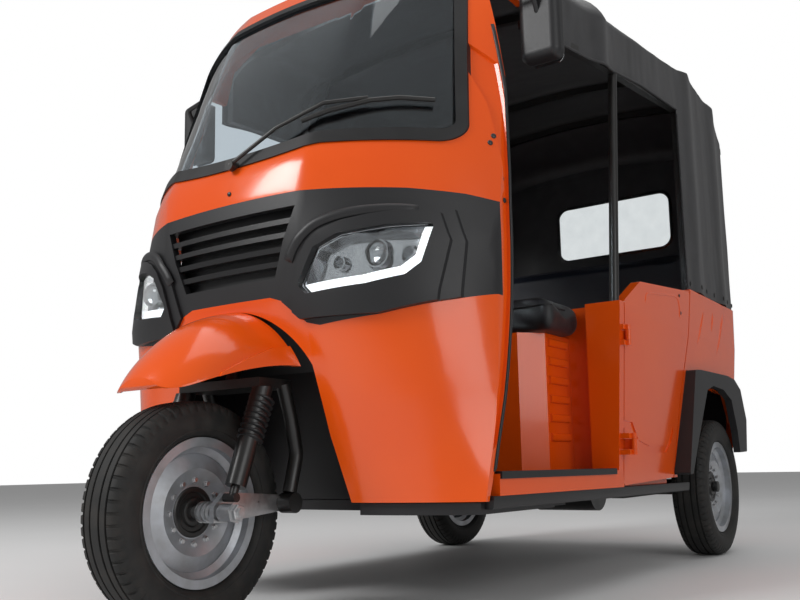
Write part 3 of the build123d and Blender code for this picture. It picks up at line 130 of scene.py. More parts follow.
# %% Orange enamel
ENAMEL, tree, shader, place = patchy("orange enamel on pressed steel", 350, 3.0, ("E24C08", "EC5C10"), IOR=1.5,
                                     Coat_Weight=0.25, Coat_Roughness=0.05)
dust = add(tree, "ShaderNodeTexNoise", {"Vector": place, "Scale": per_metre(90), "Detail": 6.0})
add(tree, "ShaderNodeMapRange", {"Value": dust.outputs["Fac"], "To Min": 0.10, "To Max": 0.24},
    [(0, shader["Roughness"])])
peel = add(tree, "ShaderNodeTexNoise", {"Vector": place, "Scale": per_metre(4), "Detail": 1.0})
sheet = add(tree, "ShaderNodeTexNoise", {"Vector": place, "Scale": per_metre(140), "Detail": 1.0})
both = add(tree, "ShaderNodeMath", {0: sheet.outputs["Fac"], 1: 14.0, 2: peel.outputs["Fac"]},
           operation="MULTIPLY_ADD")
add(tree, "ShaderNodeBump", {"Height": both.outputs[0], "Distance": 0.00003, "Strength": 0.6},
    [(0, shader["Normal"]), (0, shader["Coat Normal"])])
print("finish:", ENAMEL.name)

# %% [markdown]
# ## Moulded black plastic
# The mask round the grille, the mirror shells, the wheel flares and the under-skirt are
# polypropylene, moulded in a tool whose face was etched, so each comes out with a fine
# leather-like grain. A cell pattern of 1.4 mm gives that grain. It is dull between the
# cells and a little shinier on their tops, so the roughness follows the grain as well.

# %% Grained plastic
def grained_plastic(name, grain_mm, colours, low, high):
    """Black polypropylene with an etched grain and the grey bloom that sun and dust give it."""
    finish, tree, shader, place = patchy(name, 160, 5.0, colours, IOR=1.49)
    grain = add(tree, "ShaderNodeTexVoronoi", {"Vector": place, "Scale": per_metre(grain_mm)}, feature="SMOOTH_F1")
    add(tree, "ShaderNodeBump", {"Height": grain.outputs["Distance"], "Distance": 0.00012, "Strength": 0.6},
        [(0, shader["Normal"])])
    add(tree, "ShaderNodeMapRange", {"Value": grain.outputs["Distance"], "To Min": low, "To Max": high},
        [(0, shader["Roughness"])])
    return finish


PLASTIC = grained_plastic("black grained polypropylene", 1.4, ("161618", "202022"), 0.38, 0.58)
SMOOTH_PLASTIC = grained_plastic("black smooth polypropylene", 0.7, ("0E0E10", "161618"), 0.30, 0.46)
print("finishes:", PLASTIC.name, SMOOTH_PLASTIC.name, sep=", ")

# %% [markdown]
# ## Chassis enamel and rubber
# Rails, tubes and axle are welded steel under a satin black enamel, brushed on by hand, so
# its skin is lumpy and dust stays in it. Door seals are extruded rubber with a closed skin.
# Tyres are moulded rubber: dull, slightly brown where the road has worn them, and greyer
# where dust is ground in.

# %% Chassis enamel, door rubber and tyre rubber
GROUND_IN = (0.4, 0.75)
PORES = (1.5, 2.0, 0.06, 0.5)
CHASSIS = patchy("black chassis enamel", 70, 8.0, ("09090A", "1D1B19"), (0.25, 0.6), grain=(6, 4.0, 0.1, 0.5),
                 IOR=1.5, Coat_Weight=0.2, Coat_Roughness=0.2)[0]
RUBBER = patchy("black door rubber", 60, 9.0, ("08080A", "121214"), (0.35, 0.55), GROUND_IN, PORES, IOR=1.52)[0]
TYRE = patchy("tyre rubber", 35, 9.0, ("131312", "2B2825"), (0.6, 0.85), GROUND_IN, PORES, IOR=1.52)[0]
print("finishes:", CHASSIS.name, RUBBER.name, TYRE.name, sep=", ")

# %% [markdown]
# ## Glass and clear plastics
# The windscreen is 6 mm laminated safety glass, tinted grey. Light passes it twice before
# it comes back from inside the cab, so it looks nearly black where the cab is dark. Glass
# is solid here, with both faces, so the shader bends light in and out again. The lamp
# lenses are clear polycarbonate, the tail lamps red acrylic with fine ribs inside, and the
# canopy's rear window is a soft clear vinyl film that never lies quite flat.

# %% Clear finishes
def clear_finish(name, colours, ior, rough, wave_mm, depth_mm):
    """A see-through solid of one tint whose faces are slightly wavy."""
    return patchy(name, wave_mm, 2.0, colours, grain=(wave_mm, 2.0, depth_mm, 0.3), Transmission_Weight=1.0,
                  IOR=ior, Roughness=rough)[0]


GLASS = clear_finish("tinted laminated glass", ("B4C0C8", "BCC8D0"), 1.52, 0.0, 300, 0.2)
LENS = clear_finish("clear polycarbonate", ("EEF2F4", "F6F8F8"), 1.58, 0.0, 40, 0.05)
FILM = clear_finish("clear vinyl window film", ("D2D8DA", "E4E9EA"), 1.5, 0.08, 60, 0.6)
TAIL_RED = clear_finish("red acrylic lamp glass", ("A00E0E", "BC1414"), 1.49, 0.05, 8, 0.4)
print("finishes:", GLASS.name, LENS.name, FILM.name, TAIL_RED.name, sep=", ")

# %% [markdown]
# ## Metals
# The reflectors are plastic with a film of aluminium laid on in vacuum. The front axle,
# its nut and the bolts are bare steel, forged and turned, with the faint blotches that
# handling leaves. The wheels are pressed steel under a silver enamel full of aluminium
# flake: the flakes lie at small angles, so the enamel glitters instead of mirroring. They
# are drawn 0.8 mm apart, which is coarser than real, so that they show.

# %% Metal finishes
REFLECTOR = patchy("aluminised reflector", 30, 6.0, ("888B8F", "AAADB0"), (0.05, 0.14), grain=(2, 3.0, 0.01, 0.5),
                   Metallic=1.0)[0]
STEEL = patchy("bare turned steel", 12, 6.0, ("B0B1B3", "D6D7D8"), (0.22, 0.42), grain=(2, 3.0, 0.05, 0.5),
               Metallic=1.0)[0]
MIRROR = patchy("silvered mirror", 80, 6.0, ("E6E9EA", "F0F2F3"), (0.0, 0.02), Metallic=1.0)[0]
SILVER, tree, shader, place = patchy("silver wheel enamel", 50, 8.0, ("B2B6BC", "9A9C9E"), (0.3, 0.5), (0.35, 0.7),
                                     Metallic=0.6, Coat_Weight=0.3, Coat_Roughness=0.15)
flake = add(tree, "ShaderNodeTexVoronoi", {"Vector": place, "Scale": per_metre(0.8)})
add(tree, "ShaderNodeBump", {"Height": flake.outputs["Distance"], "Distance": 0.00002, "Strength": 0.3},
    [(0, shader["Normal"])])
print("finishes:", REFLECTOR.name, STEEL.name, MIRROR.name, SILVER.name, sep=", ")

# %% [markdown]
# ## Vinyl, canopy cloth and mat
# The seats are covered in vinyl: a knitted cloth with a skin of soft plastic, embossed like
# leather, with creases between cells of 2.2 mm. The canopy is a heavier cloth of the same
# kind, whose woven base prints through its skin as a fine grid, two thread ways crossed
# 1.8 mm apart, and which is slack over a hand's width. The sill and floor carry a rubber
# mat with raised ribs across the vehicle, 10 mm apart.

# %% Soft finishes
def vinyl_leather(name, colours):
    """Vinyl seat cover with an embossed leather grain: creases between cells."""
    finish, tree, shader, place = patchy(name, 120, 4.0, colours, (0.32, 0.5), IOR=1.5, Sheen_Weight=0.05,
                                         Sheen_Roughness=0.5)
    cells = add(tree, "ShaderNodeTexVoronoi", {"Vector": place, "Scale": per_metre(2.2)}, feature="DISTANCE_TO_EDGE")
    creases = add(tree, "ShaderNodeMapRange", {"Value": cells.outputs["Distance"], "From Max": 0.12})
    add(tree, "ShaderNodeBump", {"Height": creases.outputs[0], "Distance": 0.00018, "Strength": 0.7},
        [(0, shader["Normal"])])
    return finish


SEAT_VINYL = vinyl_leather("black seat vinyl", ("0C0D10", "14151A"))
BENCH_VINYL = vinyl_leather("navy bench vinyl", ("0C111C", "141C2C"))

CANOPY, tree, shader, place = patchy("black vinyl-coated cloth", 60, 8.0, ("1A1A1D", "29292C"), (0.45, 0.65),
                                     GROUND_IN, IOR=1.5, Sheen_Weight=0.1, Sheen_Roughness=0.6)
warp, weft = [add(tree, "ShaderNodeTexWave", {"Vector": place, "Scale": per_metre(1.8) / (2 * math.pi)},
                  bands_direction=way) for way in "YZ"]
weave = add(tree, "ShaderNodeMath", {0: warp.outputs["Fac"], 1: weft.outputs["Fac"]}, operation="MAXIMUM")
slack = add(tree, "ShaderNodeTexNoise", {"Vector": place, "Scale": per_metre(150), "Detail": 3.0})
both = add(tree, "ShaderNodeMath", {0: slack.outputs["Fac"], 1: 14.0, 2: weave.outputs[0]},
           operation="MULTIPLY_ADD")
add(tree, "ShaderNodeBump", {"Height": both.outputs[0], "Distance": 0.00025, "Strength": 0.6},
    [(0, shader["Normal"])])

MAT, tree, shader, place = patchy("ribbed rubber mat", 80, 8.0, ("0E0E0F", "242322"), Roughness=0.7)
ribs = add(tree, "ShaderNodeTexWave", {"Vector": place, "Scale": per_metre(10) / (2 * math.pi)},
           bands_direction="Y")
add(tree, "ShaderNodeBump", {"Height": ribs.outputs["Fac"], "Distance": 0.0009, "Strength": 0.8},
    [(0, shader["Normal"])])
print("finishes:", SEAT_VINYL.name, BENCH_VINYL.name, CANOPY.name, MAT.name, sep=", ")

# %% [markdown]
# ## Light bar and plate
# Along the bottom of each lamp lies a bar of milky acrylic. It scatters light inside, so it
# looks white and soft even when it is off, and a weak glow stands for its lit state. The
# number plate is thin aluminium under white enamel, and it stays blank.

# %% Milky acrylic and plate enamel
LIGHT_BAR = patchy("milky acrylic light bar", 5, 2.0, ("E4E9EC", "F6F8F9"), Roughness=0.25, Subsurface_Weight=0.3,
                   Emission_Strength=1.1, Emission_Color=linear("FFFFFF"))[0]
PLATE = patchy("white plate enamel", 40, 6.0, ("CFCFC9", "E2E2DE"), Roughness=0.35)[0]
print("finishes:", LIGHT_BAR.name, PLATE.name, sep=", ")

# %% [markdown]
# ## Finishes on the solid parts
# One table says which finish each solid part has. The solids come as flat triangles, so
# their curved faces are shaded smooth, and edges sharper than 30 degrees are kept crisp.

# %% Dress the solid parts
FINISH_OF = {
    ENAMEL: ["lower_cowl", "windscreen_frame", "mudguard", "side_sills", "driver_seat_box", "bulkhead",
             "half_door_left", "half_door_right", "side_panels", "rear_panel"],
    PLASTIC: ["front_mask", "wheel_flares", "mirrors", "under_skirt", "dashboard"],
    SMOOTH_PLASTIC: ["grille", "wheel_liner", "battery", "wheel_housings"],
    CHASSIS: ["steering_fork", "fork_struts", "handlebar", "steering_head", "chassis", "roof_posts",
              "bench_base", "canopy_frame", "drive_unit", "trailing_arms", "dampers", "rear_bumper", "wiper"],
    RUBBER: ["windscreen_seal"],
    TYRE: ["front_tyre", "rear_tyre_left", "rear_tyre_right"],
    GLASS: ["windscreen_glass"],
    LENS: ["headlamp_lenses"],
    FILM: ["rear_window"],
    REFLECTOR: ["headlamp_housings"],
    STEEL: ["fork_links"],
    SILVER: ["front_rim", "rear_rim_left", "rear_rim_right"],
    LIGHT_BAR: ["headlamp_strips"],
    PLATE: ["number_plate"],
    TAIL_RED: ["tail_lamps"],
    MAT: ["floor_pan"],
    SEAT_VINYL: ["driver_cushion"],
    BENCH_VINYL: ["bench_cushion", "bench_back"],
    CANOPY: ["canopy_cover"],
}


@contextmanager
def editing(data):
    """Opens a mesh for editing and stores it again at the end."""
    mesh = bmesh.new()
    mesh.from_mesh(data)
    yield mesh
    mesh.to_mesh(data)
    mesh.free()


def put(name, data):
    """Puts a new object with this data into the scene."""
    made = bpy.data.objects.new(name, data)
    bpy.context.scene.collection.objects.link(made)
    return made


def shade(piece, angle_deg=30):
    """Shades a mesh smooth but keeps the edges that turn by more than the angle."""
    for face in piece.data.polygons:
        face.use_smooth = True
    with editing(piece.data) as mesh:
        for edge in mesh.edges:
            edge.smooth = len(edge.link_faces) == 2 and edge.calc_face_angle(0) < math.radians(angle_deg)


for finish, names in FINISH_OF.items():
    for name in names:
        NODES[name].data.materials.clear()
        NODES[name].data.materials.append(finish)
        shade(NODES[name])
left_out = sorted(set(NODES) - {name for names in FINISH_OF.values() for name in names})
print("parts with no finish yet:", left_out)

# %% [markdown]
# ## Curved panels
# The big curved panels arrive face by face, so gloss would break where two faces meet. A
# copy of each, with the points that coincide merged into one, takes the light as one skin,
# as pressed sheet and bent glass do. The copy stands for the solid part and has its shape.

# %% Merge the curved panels' faces
CURVED = {"lower_cowl": ("cowl_skin", "body_paint"), "windscreen_frame": ("screen_frame_skin", "body_paint"),
          "mudguard": ("mudguard_skin", "body_paint"), "front_mask": ("mask_skin", "black_plastic"),
          "windscreen_seal": ("seal_skin", "rubber"), "windscreen_glass": ("glass_skin", "glass")}
for node, (name, slot) in CURVED.items():
    source = NODES[node].data
    mesh = bmesh.new()
    mesh.from_mesh(source)
    bmesh.ops.remove_doubles(mesh, verts=mesh.verts, dist=0.00002)
    data = bpy.data.meshes.new(name)
    mesh.to_mesh(data)
    mesh.free()
    data.materials.append(source.materials[0])
    piece = put(name, data)
    shade(piece, 28)
    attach(piece, "body")
    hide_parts(node)
    print(name, "has", len(data.vertices), "points, merged from", len(source.vertices))

# %% [markdown]
# ## Helpers for added pieces
# Places are given in millimetres from the front axle: x to the vehicle's left, y to the
# rear and z up. One function turns such a place into the frame's metres. Others make a
# round piece by spinning an outline, a rod along a path, a solid through a row of rings,
# and small pieces that lie on a solid part where rays meet it.

# %% Piece helpers
MIDDLE_Y = 1098
SIDES = (("left", 1), ("right", -1))


def at(x, y, z):
    """A place in millimetres from the front axle, in the frame's metres."""
    return Vector((x, y - MIDDLE_Y, z)) / 1000


def place_mesh(name, points, faces, finish, body, slot, stands_for=()):
    """Makes a piece from points in metres and faces, gives it its finish and fixes it to a body."""
    data = bpy.data.meshes.new(name)
    data.from_pydata([tuple(p) for p in points], [], faces)
    with editing(data) as mesh:
        bmesh.ops.remove_doubles(mesh, verts=mesh.verts, dist=0.00001)
        bmesh.ops.recalc_face_normals(mesh, faces=mesh.faces)
    data.materials.append(finish)
    piece = put(name.replace(" ", "_"), data)
    shade(piece)
    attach(piece, body)
    if stands_for:
        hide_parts(*stands_for)
    return piece


def gather(shapes):
    """Joins several (points, faces) shapes into one."""
    points, faces = [], []
    for some, sides in shapes:
        start = len(points)
        points += some
        faces += [tuple(i + start for i in side) for side in sides]
    return points, faces


def net(columns, count, loop, closed):
    """Faces between columns of count points; loop joins the last column to the first, and
    closed the last point of a column to its first."""
    faces = []
    for i in range(columns if loop else columns - 1):
        a, b = i * count, (i + 1) % columns * count
        for j in range(count if closed else count - 1):
            k = (j + 1) % count
            faces.append((a + j, a + k, b + k, b + j))
    return faces


def spun(outline, centre, axis, sides):
    """Spins (along, radius) pairs in millimetres about an axis and caps both ends."""
    axis = Vector(axis).normalized()
    across = axis.orthogonal().normalized()
    other = axis.cross(across)
    points, count = [], len(outline)
    for i in range(sides):
        angle = 2 * math.pi * i / sides
        way = across * math.cos(angle) + other * math.sin(angle)
        points += [centre + (axis * along + way * radius) / 1000 for along, radius in outline]
    caps = [[i * count + end for i in range(sides)] for end in (0, count - 1)]
    return points, net(sides, count, True, False) + caps


def strung(rings):
    """A solid strung through rings that all have the same number of points, capped at both ends."""
    count = len(rings[0])
    points = [point for ring in rings for point in ring]
    caps = [tuple(range(count)), tuple(range(len(points) - count, len(points)))]
    return points, caps + net(len(rings), count, False, True)


def rod(path, radius, sides=8):
    """A round rod of one radius in millimetres along a path of points in metres."""
    rings = []
    for i, point in enumerate(path):
        way = (path[min(i + 1, len(path) - 1)] - path[max(i - 1, 0)]).normalized()
        across = way.cross(Vector((0.3, 0.1, 0.95))).normalized()
        other = way.cross(across)
        turns = [2 * math.pi * k / sides for k in range(sides)]
        rings.append([point + (across * math.cos(a) + other * math.sin(a)) * radius / 1000 for a in turns])
    return strung(rings)


def skin_of(piece):
    """The surface of a piece, to send rays at."""
    data = piece.data
    return BVHTree.FromPolygons([v.co for v in data.vertices], [p.vertices for p in data.polygons])


def dropped(names, places, way):
    """Where rays from places first meet solid parts, with the skin's outward direction at each."""
    skins = [skin_of(NODES[name]) for name in names]
    met = []
    for place in places:
        hits = [hit for hit in (skin.ray_cast(place, way) for skin in skins) if hit[0]]
        if hits:
            point, normal = min(hits, key=lambda hit: hit[3])[:2]
            met.append((point, -normal if normal.dot(way) > 0 else normal))
    return met


def bead(names, places, way, half, height):
    """A rounded bead along places dropped onto solid parts, with ends that run out flat."""
    line = dropped(names, places, way)
    rings, last = [], len(line) - 1
    for i, (point, normal) in enumerate(line):
        along = (line[min(i + 1, last)][0] - line[max(i - 1, 0)][0]).normalized()
        across = along.cross(normal).normalized()
        grow = min(1, 0.1 + i / 3, 0.1 + (last - i) / 3)
        ring = [point - (normal * 0.8 + across * half * side) / 1000 for side in (1, -1)]
        for k in range(1, 8):
            angle = math.pi * k / 8
            ring.append(point + (across * half * math.cos(angle) + normal * height * grow * math.sin(angle)) / 1000)
        rings.append(ring)
    return strung(rings)


def domes(names, places, way, radius, height):
    """Low domes set square to the skin of solid parts, where rays from the places meet it."""
    outline = [(-1.5, radius), (height * 0.3, radius), (height * 0.75, radius * 0.8), (height, radius * 0.35)]
    return gather(spun(outline, point, normal, 16) for point, normal in dropped(names, places, way))


def smooth_path(points, steps):
    """A curve through the points, with so many steps between each two."""
    made = []
    for i in range(len(points) - 1):
        before, start = points[max(i - 1, 0)], points[i]
        end, after = points[i + 1], points[min(i + 2, len(points) - 1)]
        for k in range(steps):
            t = k / steps
            made.append(0.5 * (2 * start + (end - before) * t + (2 * before - 5 * start + 4 * end - after) * t * t
                               + (3 * start - before - 3 * end + after) * t * t * t))
    return made + [points[-1]]


print("a point at the front axle's middle:", tuple(at(0, 0, 252)))

# %% [markdown]
# ## Tyres
# Each tyre is moulded with four grooves round the tread, so water gets out, and short cuts
# across both shoulders. The outline of half a tyre is a table of distance from the middle
# and radius. It is mirrored and spun in 62 pitches of 5 columns, and the two columns of a
# cut lie deeper on the shoulder.

# %% Tyres
TYRE_RADIUS = 252
REAR_X = 567.5
WHEELBASE = 2090
WHEELS = [("front", 0, 0, "front_wheel", "front_tyre", "front_rim"),
          ("left rear", REAR_X, WHEELBASE, "rear_wheel_left", "rear_tyre_left", "rear_rim_left"),
          ("right rear", -REAR_X, WHEELBASE, "rear_wheel_right", "rear_tyre_right", "rear_rim_right")]
PITCHES = 62
HALF_TREAD = [(0, 252), (11, 251.8), (12, 246), (16, 246), (17, 251.6), (32, 251), (33, 245.5), (37, 245.5),
              (38, 250.6), (44, 249.4), (50, 246.8), (55, 242), (58.5, 234), (61, 226), (61.2, 223), (63, 219),
              (64.6, 210), (64.8, 203), (63.6, 192), (61.5, 186), (62.2, 183), (60, 179), (55, 174), (48, 170.6),
              (43.5, 170), (43.5, 152.4), (29, 152.4)]
TREAD_INSIDE = 234
CUT_COLUMNS = [(0.0, 0), (0.08, 4.5), (0.26, 4.5), (0.34, 0), (0.67, 0)]
outline = HALF_TREAD + [(0, TREAD_INSIDE)] + [(-x, r) for x, r in reversed(HALF_TREAD[1:])]
faces = net(PITCHES * len(CUT_COLUMNS), len(outline), True, True)
for name, x, y, body, node, _ in WHEELS:
    centre = at(x, y, TYRE_RADIUS)
    points = []
    for pitch in range(PITCHES):
        for share, depth in CUT_COLUMNS:
            angle = 2 * math.pi * (pitch + share) / PITCHES
            for out, r in outline:
                if 38 < abs(out) < 60 and r > 232:
                    r -= depth
                points.append(centre + Vector((out, -math.sin(angle) * r, math.cos(angle) * r)) / 1000)
    tyre = place_mesh(name + " tyre", points, faces, TYRE, body, "tyre", [node])
    print(tyre.name, "has", len(tyre.data.polygons), "faces")

# %% [markdown]
# ## Hubs and wheel bolts
# Each wheel is bolted to its hub by a ring of twelve small bolts, and the hub's black
# centre shows inside it. Where the wheel disc's face lies is read from the solid rim by
# sending a ray at it from outside.

# %% Hub centres and bolts
HUB_OUTLINE = [(-6, 57), (2, 57), (4, 54), (4, 46), (1, 43), (1, 34), (7, 31), (9, 26), (9, 22)]
BOLT_OUTLINE = [(-4, 8.4), (0.8, 8.4), (1.2, 6.2), (5.2, 6.0), (6.0, 5.0)]
BOLTS = 12
BOLT_CIRCLE = 72


def wheel_face(name, centre, radius, side):
    """How far out from the wheel's middle its disc lies at a radius, in millimetres."""
    place = centre + Vector((side * 0.3, 0, radius / 1000))
    return abs(dropped([name], [place], Vector((-side, 0, 0)))[0][0].x - centre.x) * 1000


for name, x, y, body, _, rim in WHEELS:
    centre = at(x, y, TYRE_RADIUS)
    side = -1 if x < 0 else 1
    face, ring = wheel_face(rim, centre, 40, side), wheel_face(rim, centre, BOLT_CIRCLE, side)
    hub = spun([(side * (face + a), r) for a, r in HUB_OUTLINE], centre, (1, 0, 0), 64)
    place_mesh(name + " hub centre", *hub, CHASSIS, body, "black_metal")
    bolts = []
    for i in range(BOLTS):
        angle = 2 * math.pi * i / BOLTS
        spot = centre + Vector((0, math.cos(angle), math.sin(angle))) * BOLT_CIRCLE / 1000
        bolts.append(spun([(side * (ring + a), r) for a, r in BOLT_OUTLINE], spot, (1, 0, 0), 6))
    place_mesh(name + " wheel bolts", *gather(bolts), STEEL, body, "steel")
    print(name, "wheel disc lies", round(face, 1), "and", round(ring, 1), "mm out")

# %% [markdown]
# ## Front suspension details
# The axle between hub and link carries a ridged dust sleeve, and a nut with a washer holds
# it outside the link. The upper half of each shock absorber is covered by a ribbed rubber
# boot that folds like an accordion when the wheel comes up.

# %% Sleeve, nuts and shock boots
SLEEVE = [(44, 15), (44, 22), (49, 24), (50, 19), (56, 19), (57, 24), (63, 24), (64, 19), (70, 19), (71, 24),
          (77, 24), (78, 19), (85, 19), (86, 23), (92, 23), (92, 15)]
AXLE_NUT = [(0, 9), (0, 24), (2.5, 24), (2.5, 19), (14, 19), (15.5, 17), (15.5, 11), (22, 10.5), (22, 6)]
LINK_OUTSIDE = 150.5
BOOT_FOOT = 136
BOOT_RIBS = 8
boot = [(BOOT_FOOT - 2, 24.4)]
for i in range(BOOT_RIBS):
    boot += [(BOOT_FOOT + i * 14 + a, r) for a, r in ((0, 25), (4, 31), (7, 31), (11, 25))]
boot += [(BOOT_FOOT + BOOT_RIBS * 14, 24.4)]
for word, side in SIDES:
    sleeve = spun([(side * a, r) for a, r in SLEEVE], at(0, 0, TYRE_RADIUS), (1, 0, 0), 40)
    place_mesh(word + " axle sleeve", *sleeve, STEEL, "steering", "steel")
    nut = spun([(side * a, r) for a, r in AXLE_NUT], at(side * LINK_OUTSIDE, 0, TYRE_RADIUS), (1, 0, 0), 6)
    place_mesh(word + " front axle nut", *nut, STEEL, "steering", "steel")
    foot, head = at(side * 130, 12, 284), at(side * 130, 116, 534)
    place_mesh(word + " shock boot", *spun(boot, foot, head - foot, 36), RUBBER, "steering", "rubber")
print("front suspension has", BOOT_RIBS, "folds on each boot")

# %% [markdown]
# ## Seats
# A vehicle seat is a block of foam under a tight vinyl cover. The cover is sewn from flat
# panels, so it is crowned in the middle and drawn in at its seams. Each starts as a block
# with rounded edges that is smaller than its place, and is blown up like a cushion by a
# cloth simulation with no gravity. The face it rests on is held, and no point may move by
# more than a cap. The result is smoothed and kept inside its place. A welt cord follows the
# seam along the front.

# %% Foam seats
VOXEL = 0.01
CAP_MM = 22
SMOOTH_PASSES = 5
SEATS = [
    # name, node, finish, low corner, high corner, axis of the resting side, rounding, seam below the top
    ("driver_seat_pad", "driver_cushion", SEAT_VINYL, (-503, 902, 730.6), (503, 1124, 820), "z", 34, 14),
    ("bench_seat_pad", "bench_cushion", BENCH_VINYL, (-588, 1868, 650.6), (588, 2276, 751), "z", 38, 14),
    ("bench_back_pad", "bench_back", BENCH_VINYL, (-568, 2301, 783), (568, 2397, 1253), "y", 36, 30),
]


def reshape(piece, kind, **settings):
    """Gives a piece a modifier with its settings and applies it."""
    modifier = piece.modifiers.new(kind, kind)
    for name, value in settings.items():
        setattr(modifier, name, value)
    made = bpy.data.meshes.new_from_object(piece.evaluated_get(bpy.context.evaluated_depsgraph_get()))
    piece.modifiers.clear()
    piece.data = made


def foam_block(name, low, high, rounding):
    """A block with rounded edges between two corners, remeshed into even faces."""
    data = bpy.data.meshes.new(name)
    with editing(data) as mesh:
        bmesh.ops.create_cube(mesh, size=1.0)
        for vertex in mesh.verts:
            vertex.co = Vector([(a + b) / 2 + c * (b - a) for a, b, c in zip(low, high, vertex.co)])
        bmesh.ops.bevel(mesh, geom=list(mesh.edges), offset=rounding / 1000, segments=5, profile=0.5,
                        affect="EDGES")
    piece = put(name, data)
    bpy.context.view_layer.objects.active = piece
    data.remesh_voxel_size = VOXEL
    with bpy.context.temp_override(object=piece, active_object=piece, selected_objects=[piece]):
        bpy.ops.object.voxel_remesh()
    return piece


def blow_up(piece, held):
    """Inflates a piece by cloth simulation with some points held, and caps how far each moves."""
    rest = [v.co.copy() for v in piece.data.vertices]
    group = piece.vertex_groups.new(name="held")
    group.add([i for i, co in enumerate(rest) if held(co)], 1.0, "REPLACE")
    cloth = piece.modifiers.new("foam", "CLOTH")
    cloth.settings.use_pressure = True
    cloth.settings.uniform_pressure_force = 4
    cloth.settings.vertex_group_mass = "held"
    cloth.settings.effector_weights.gravity = 0
    cloth.settings.quality = 4
    for i in range(1, 21):
        bpy.context.scene.frame_set(i)
    shape = piece.evaluated_get(bpy.context.evaluated_depsgraph_get())
    moved = [v.co.copy() for v in shape.data.vertices]
    piece.modifiers.clear()
    piece.vertex_groups.clear()
    for vertex, a, b in zip(piece.data.vertices, rest, moved):
        step = b - a
        vertex.co = a + step * min(1.0, CAP_MM / 1000 / max(step.length, 1e-9))
    bpy.context.scene.frame_set(1)
    with editing(piece.data) as mesh:
        for i in range(SMOOTH_PASSES):
            bmesh.ops.smooth_vert(mesh, verts=mesh.verts, factor=0.5, use_axis_x=True, use_axis_y=True,
                                  use_axis_z=True)


def welt(piece, low, high, z, radius, steps=120):
    """A cord laid along a pad's front at a height, where rays sent inwards meet the pad."""
    skin, line = skin_of(piece), []
    for i in range(steps + 1):
        x = low[0] - 40 + (high[0] - low[0] + 80) * i / steps
        place = at(x, low[1] - 60, z)
        way = (at(x * 0.93, low[1] + 60, z) - place).normalized()
        hit = skin.ray_cast(place, way)
        if hit[0]:
            line.append(hit[0] - way * 0.0006)
    return rod(line, radius)


for name, node, finish, low, high, side, rounding, seam in SEATS:
    corner, other = at(*low), at(*high)
    pad = foam_block(name, corner, other, rounding)
    if side == "z":
        blow_up(pad, lambda co: co.z < corner.z + 0.004)
    else:
        blow_up(pad, lambda co: co.y > other.y - 0.004)
    box_low, box_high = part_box(node)
    for vertex in pad.data.vertices:
        vertex.co = Vector([min(max(c, a), b) for c, a, b in zip(vertex.co, box_low, box_high)])
    reshape(pad, "SUBSURF", levels=1)
    pad.data.materials.clear()
    pad.data.materials.append(finish)
    shade(pad, 60)
    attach(pad, "body")
    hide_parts(node)
    place_mesh(name + " welt", *welt(pad, low, high, high[2] - seam, 4), finish, "body", "seat_vinyl")
    print(pad.name, "has", len(pad.data.polygons), "faces")

# %% [markdown]
# ## Canopy
# The canopy is one sheet of vinyl-coated cloth, stretched over four hoops, sewn at the
# corners and snapped to the body along its lower hem. Its cross section changes along the
# vehicle, so a table gives half width, shoulder height and crown height at five places,
# and the sections between are blended from it. The cloth stands out over each hoop, sags
# between them and has shallow folds where it is pulled down to its snaps.

# %% Canopy sheet
SECTIONS = [(656, 585, 1690, 1800), (1110, 625, 1735, 1860), (1915, 650, 1835, 1905), (2250, 650, 1795, 1890),
            (2440, 640, 1680, 1760)]
HOOPS = [690, 1115, 1918, 2234]
HEM_LINE = [(640, 1524), (820, 1546), (1080, 1569), (1440, 1623), (1796, 1650)]
CANOPY_FRONT = 656
CURTAIN_FRONT = 1796
LOWER_HEM = 968
REAR_END = 2438
REAR_ROUND = 34
CLOTH_MM = 2.4
ROOF_FOLD, CURTAIN_FOLD, WALL_FOLD = 2.6, 3.4, 3.0
CURTAIN_STEPS = 40
WALL_STEPS = 60
WINDOW = (-140, 384, 1297, 1540, 45)


def between(table, y, column):
    """The value of a table's column at y, on a straight line between its rows."""
    low = ([row for row in table if row[0] <= y] or [table[0]])[-1]
    above = [row for row in table if row[0] > y]
    if not above:
        return low[column]
    t = (y - low[0]) / (above[0][0] - low[0])
    return low[column] + (above[0][column] - low[column]) * t


def arc(a, b, c, steps):
    """Points on the circle through three (x, z) pairs, from the first to the last."""
    ax, az, bx, bz, cx, cz = *a, *b, *c
    d = 2 * (ax * (bz - cz) + bx * (cz - az) + cx * (az - bz))
    ux = ((ax * ax + az * az) * (bz - cz) + (bx * bx + bz * bz) * (cz - az) + (cx * cx + cz * cz) * (az - bz)) / d
    uz = ((ax * ax + az * az) * (cx - bx) + (bx * bx + bz * bz) * (ax - cx) + (cx * cx + cz * cz) * (bx - ax)) / d
    radius = math.hypot(ax - ux, az - uz)
    first, last = math.atan2(az - uz, ax - ux), math.atan2(cz - uz, cx - ux)
    turns = [first + (last - first) * i / steps for i in range(steps + 1)]
    return [(ux + radius * math.cos(turn), uz + radius * math.sin(turn)) for turn in turns]


def slack_at(y):
    """How far the cloth lies inside its taut form at y: little on a hoop, most between two."""
    nearest = min(abs(y - hoop) for hoop in HOOPS)
    return 3 + 11 * (1 - math.exp(-(nearest / 55) ** 2))


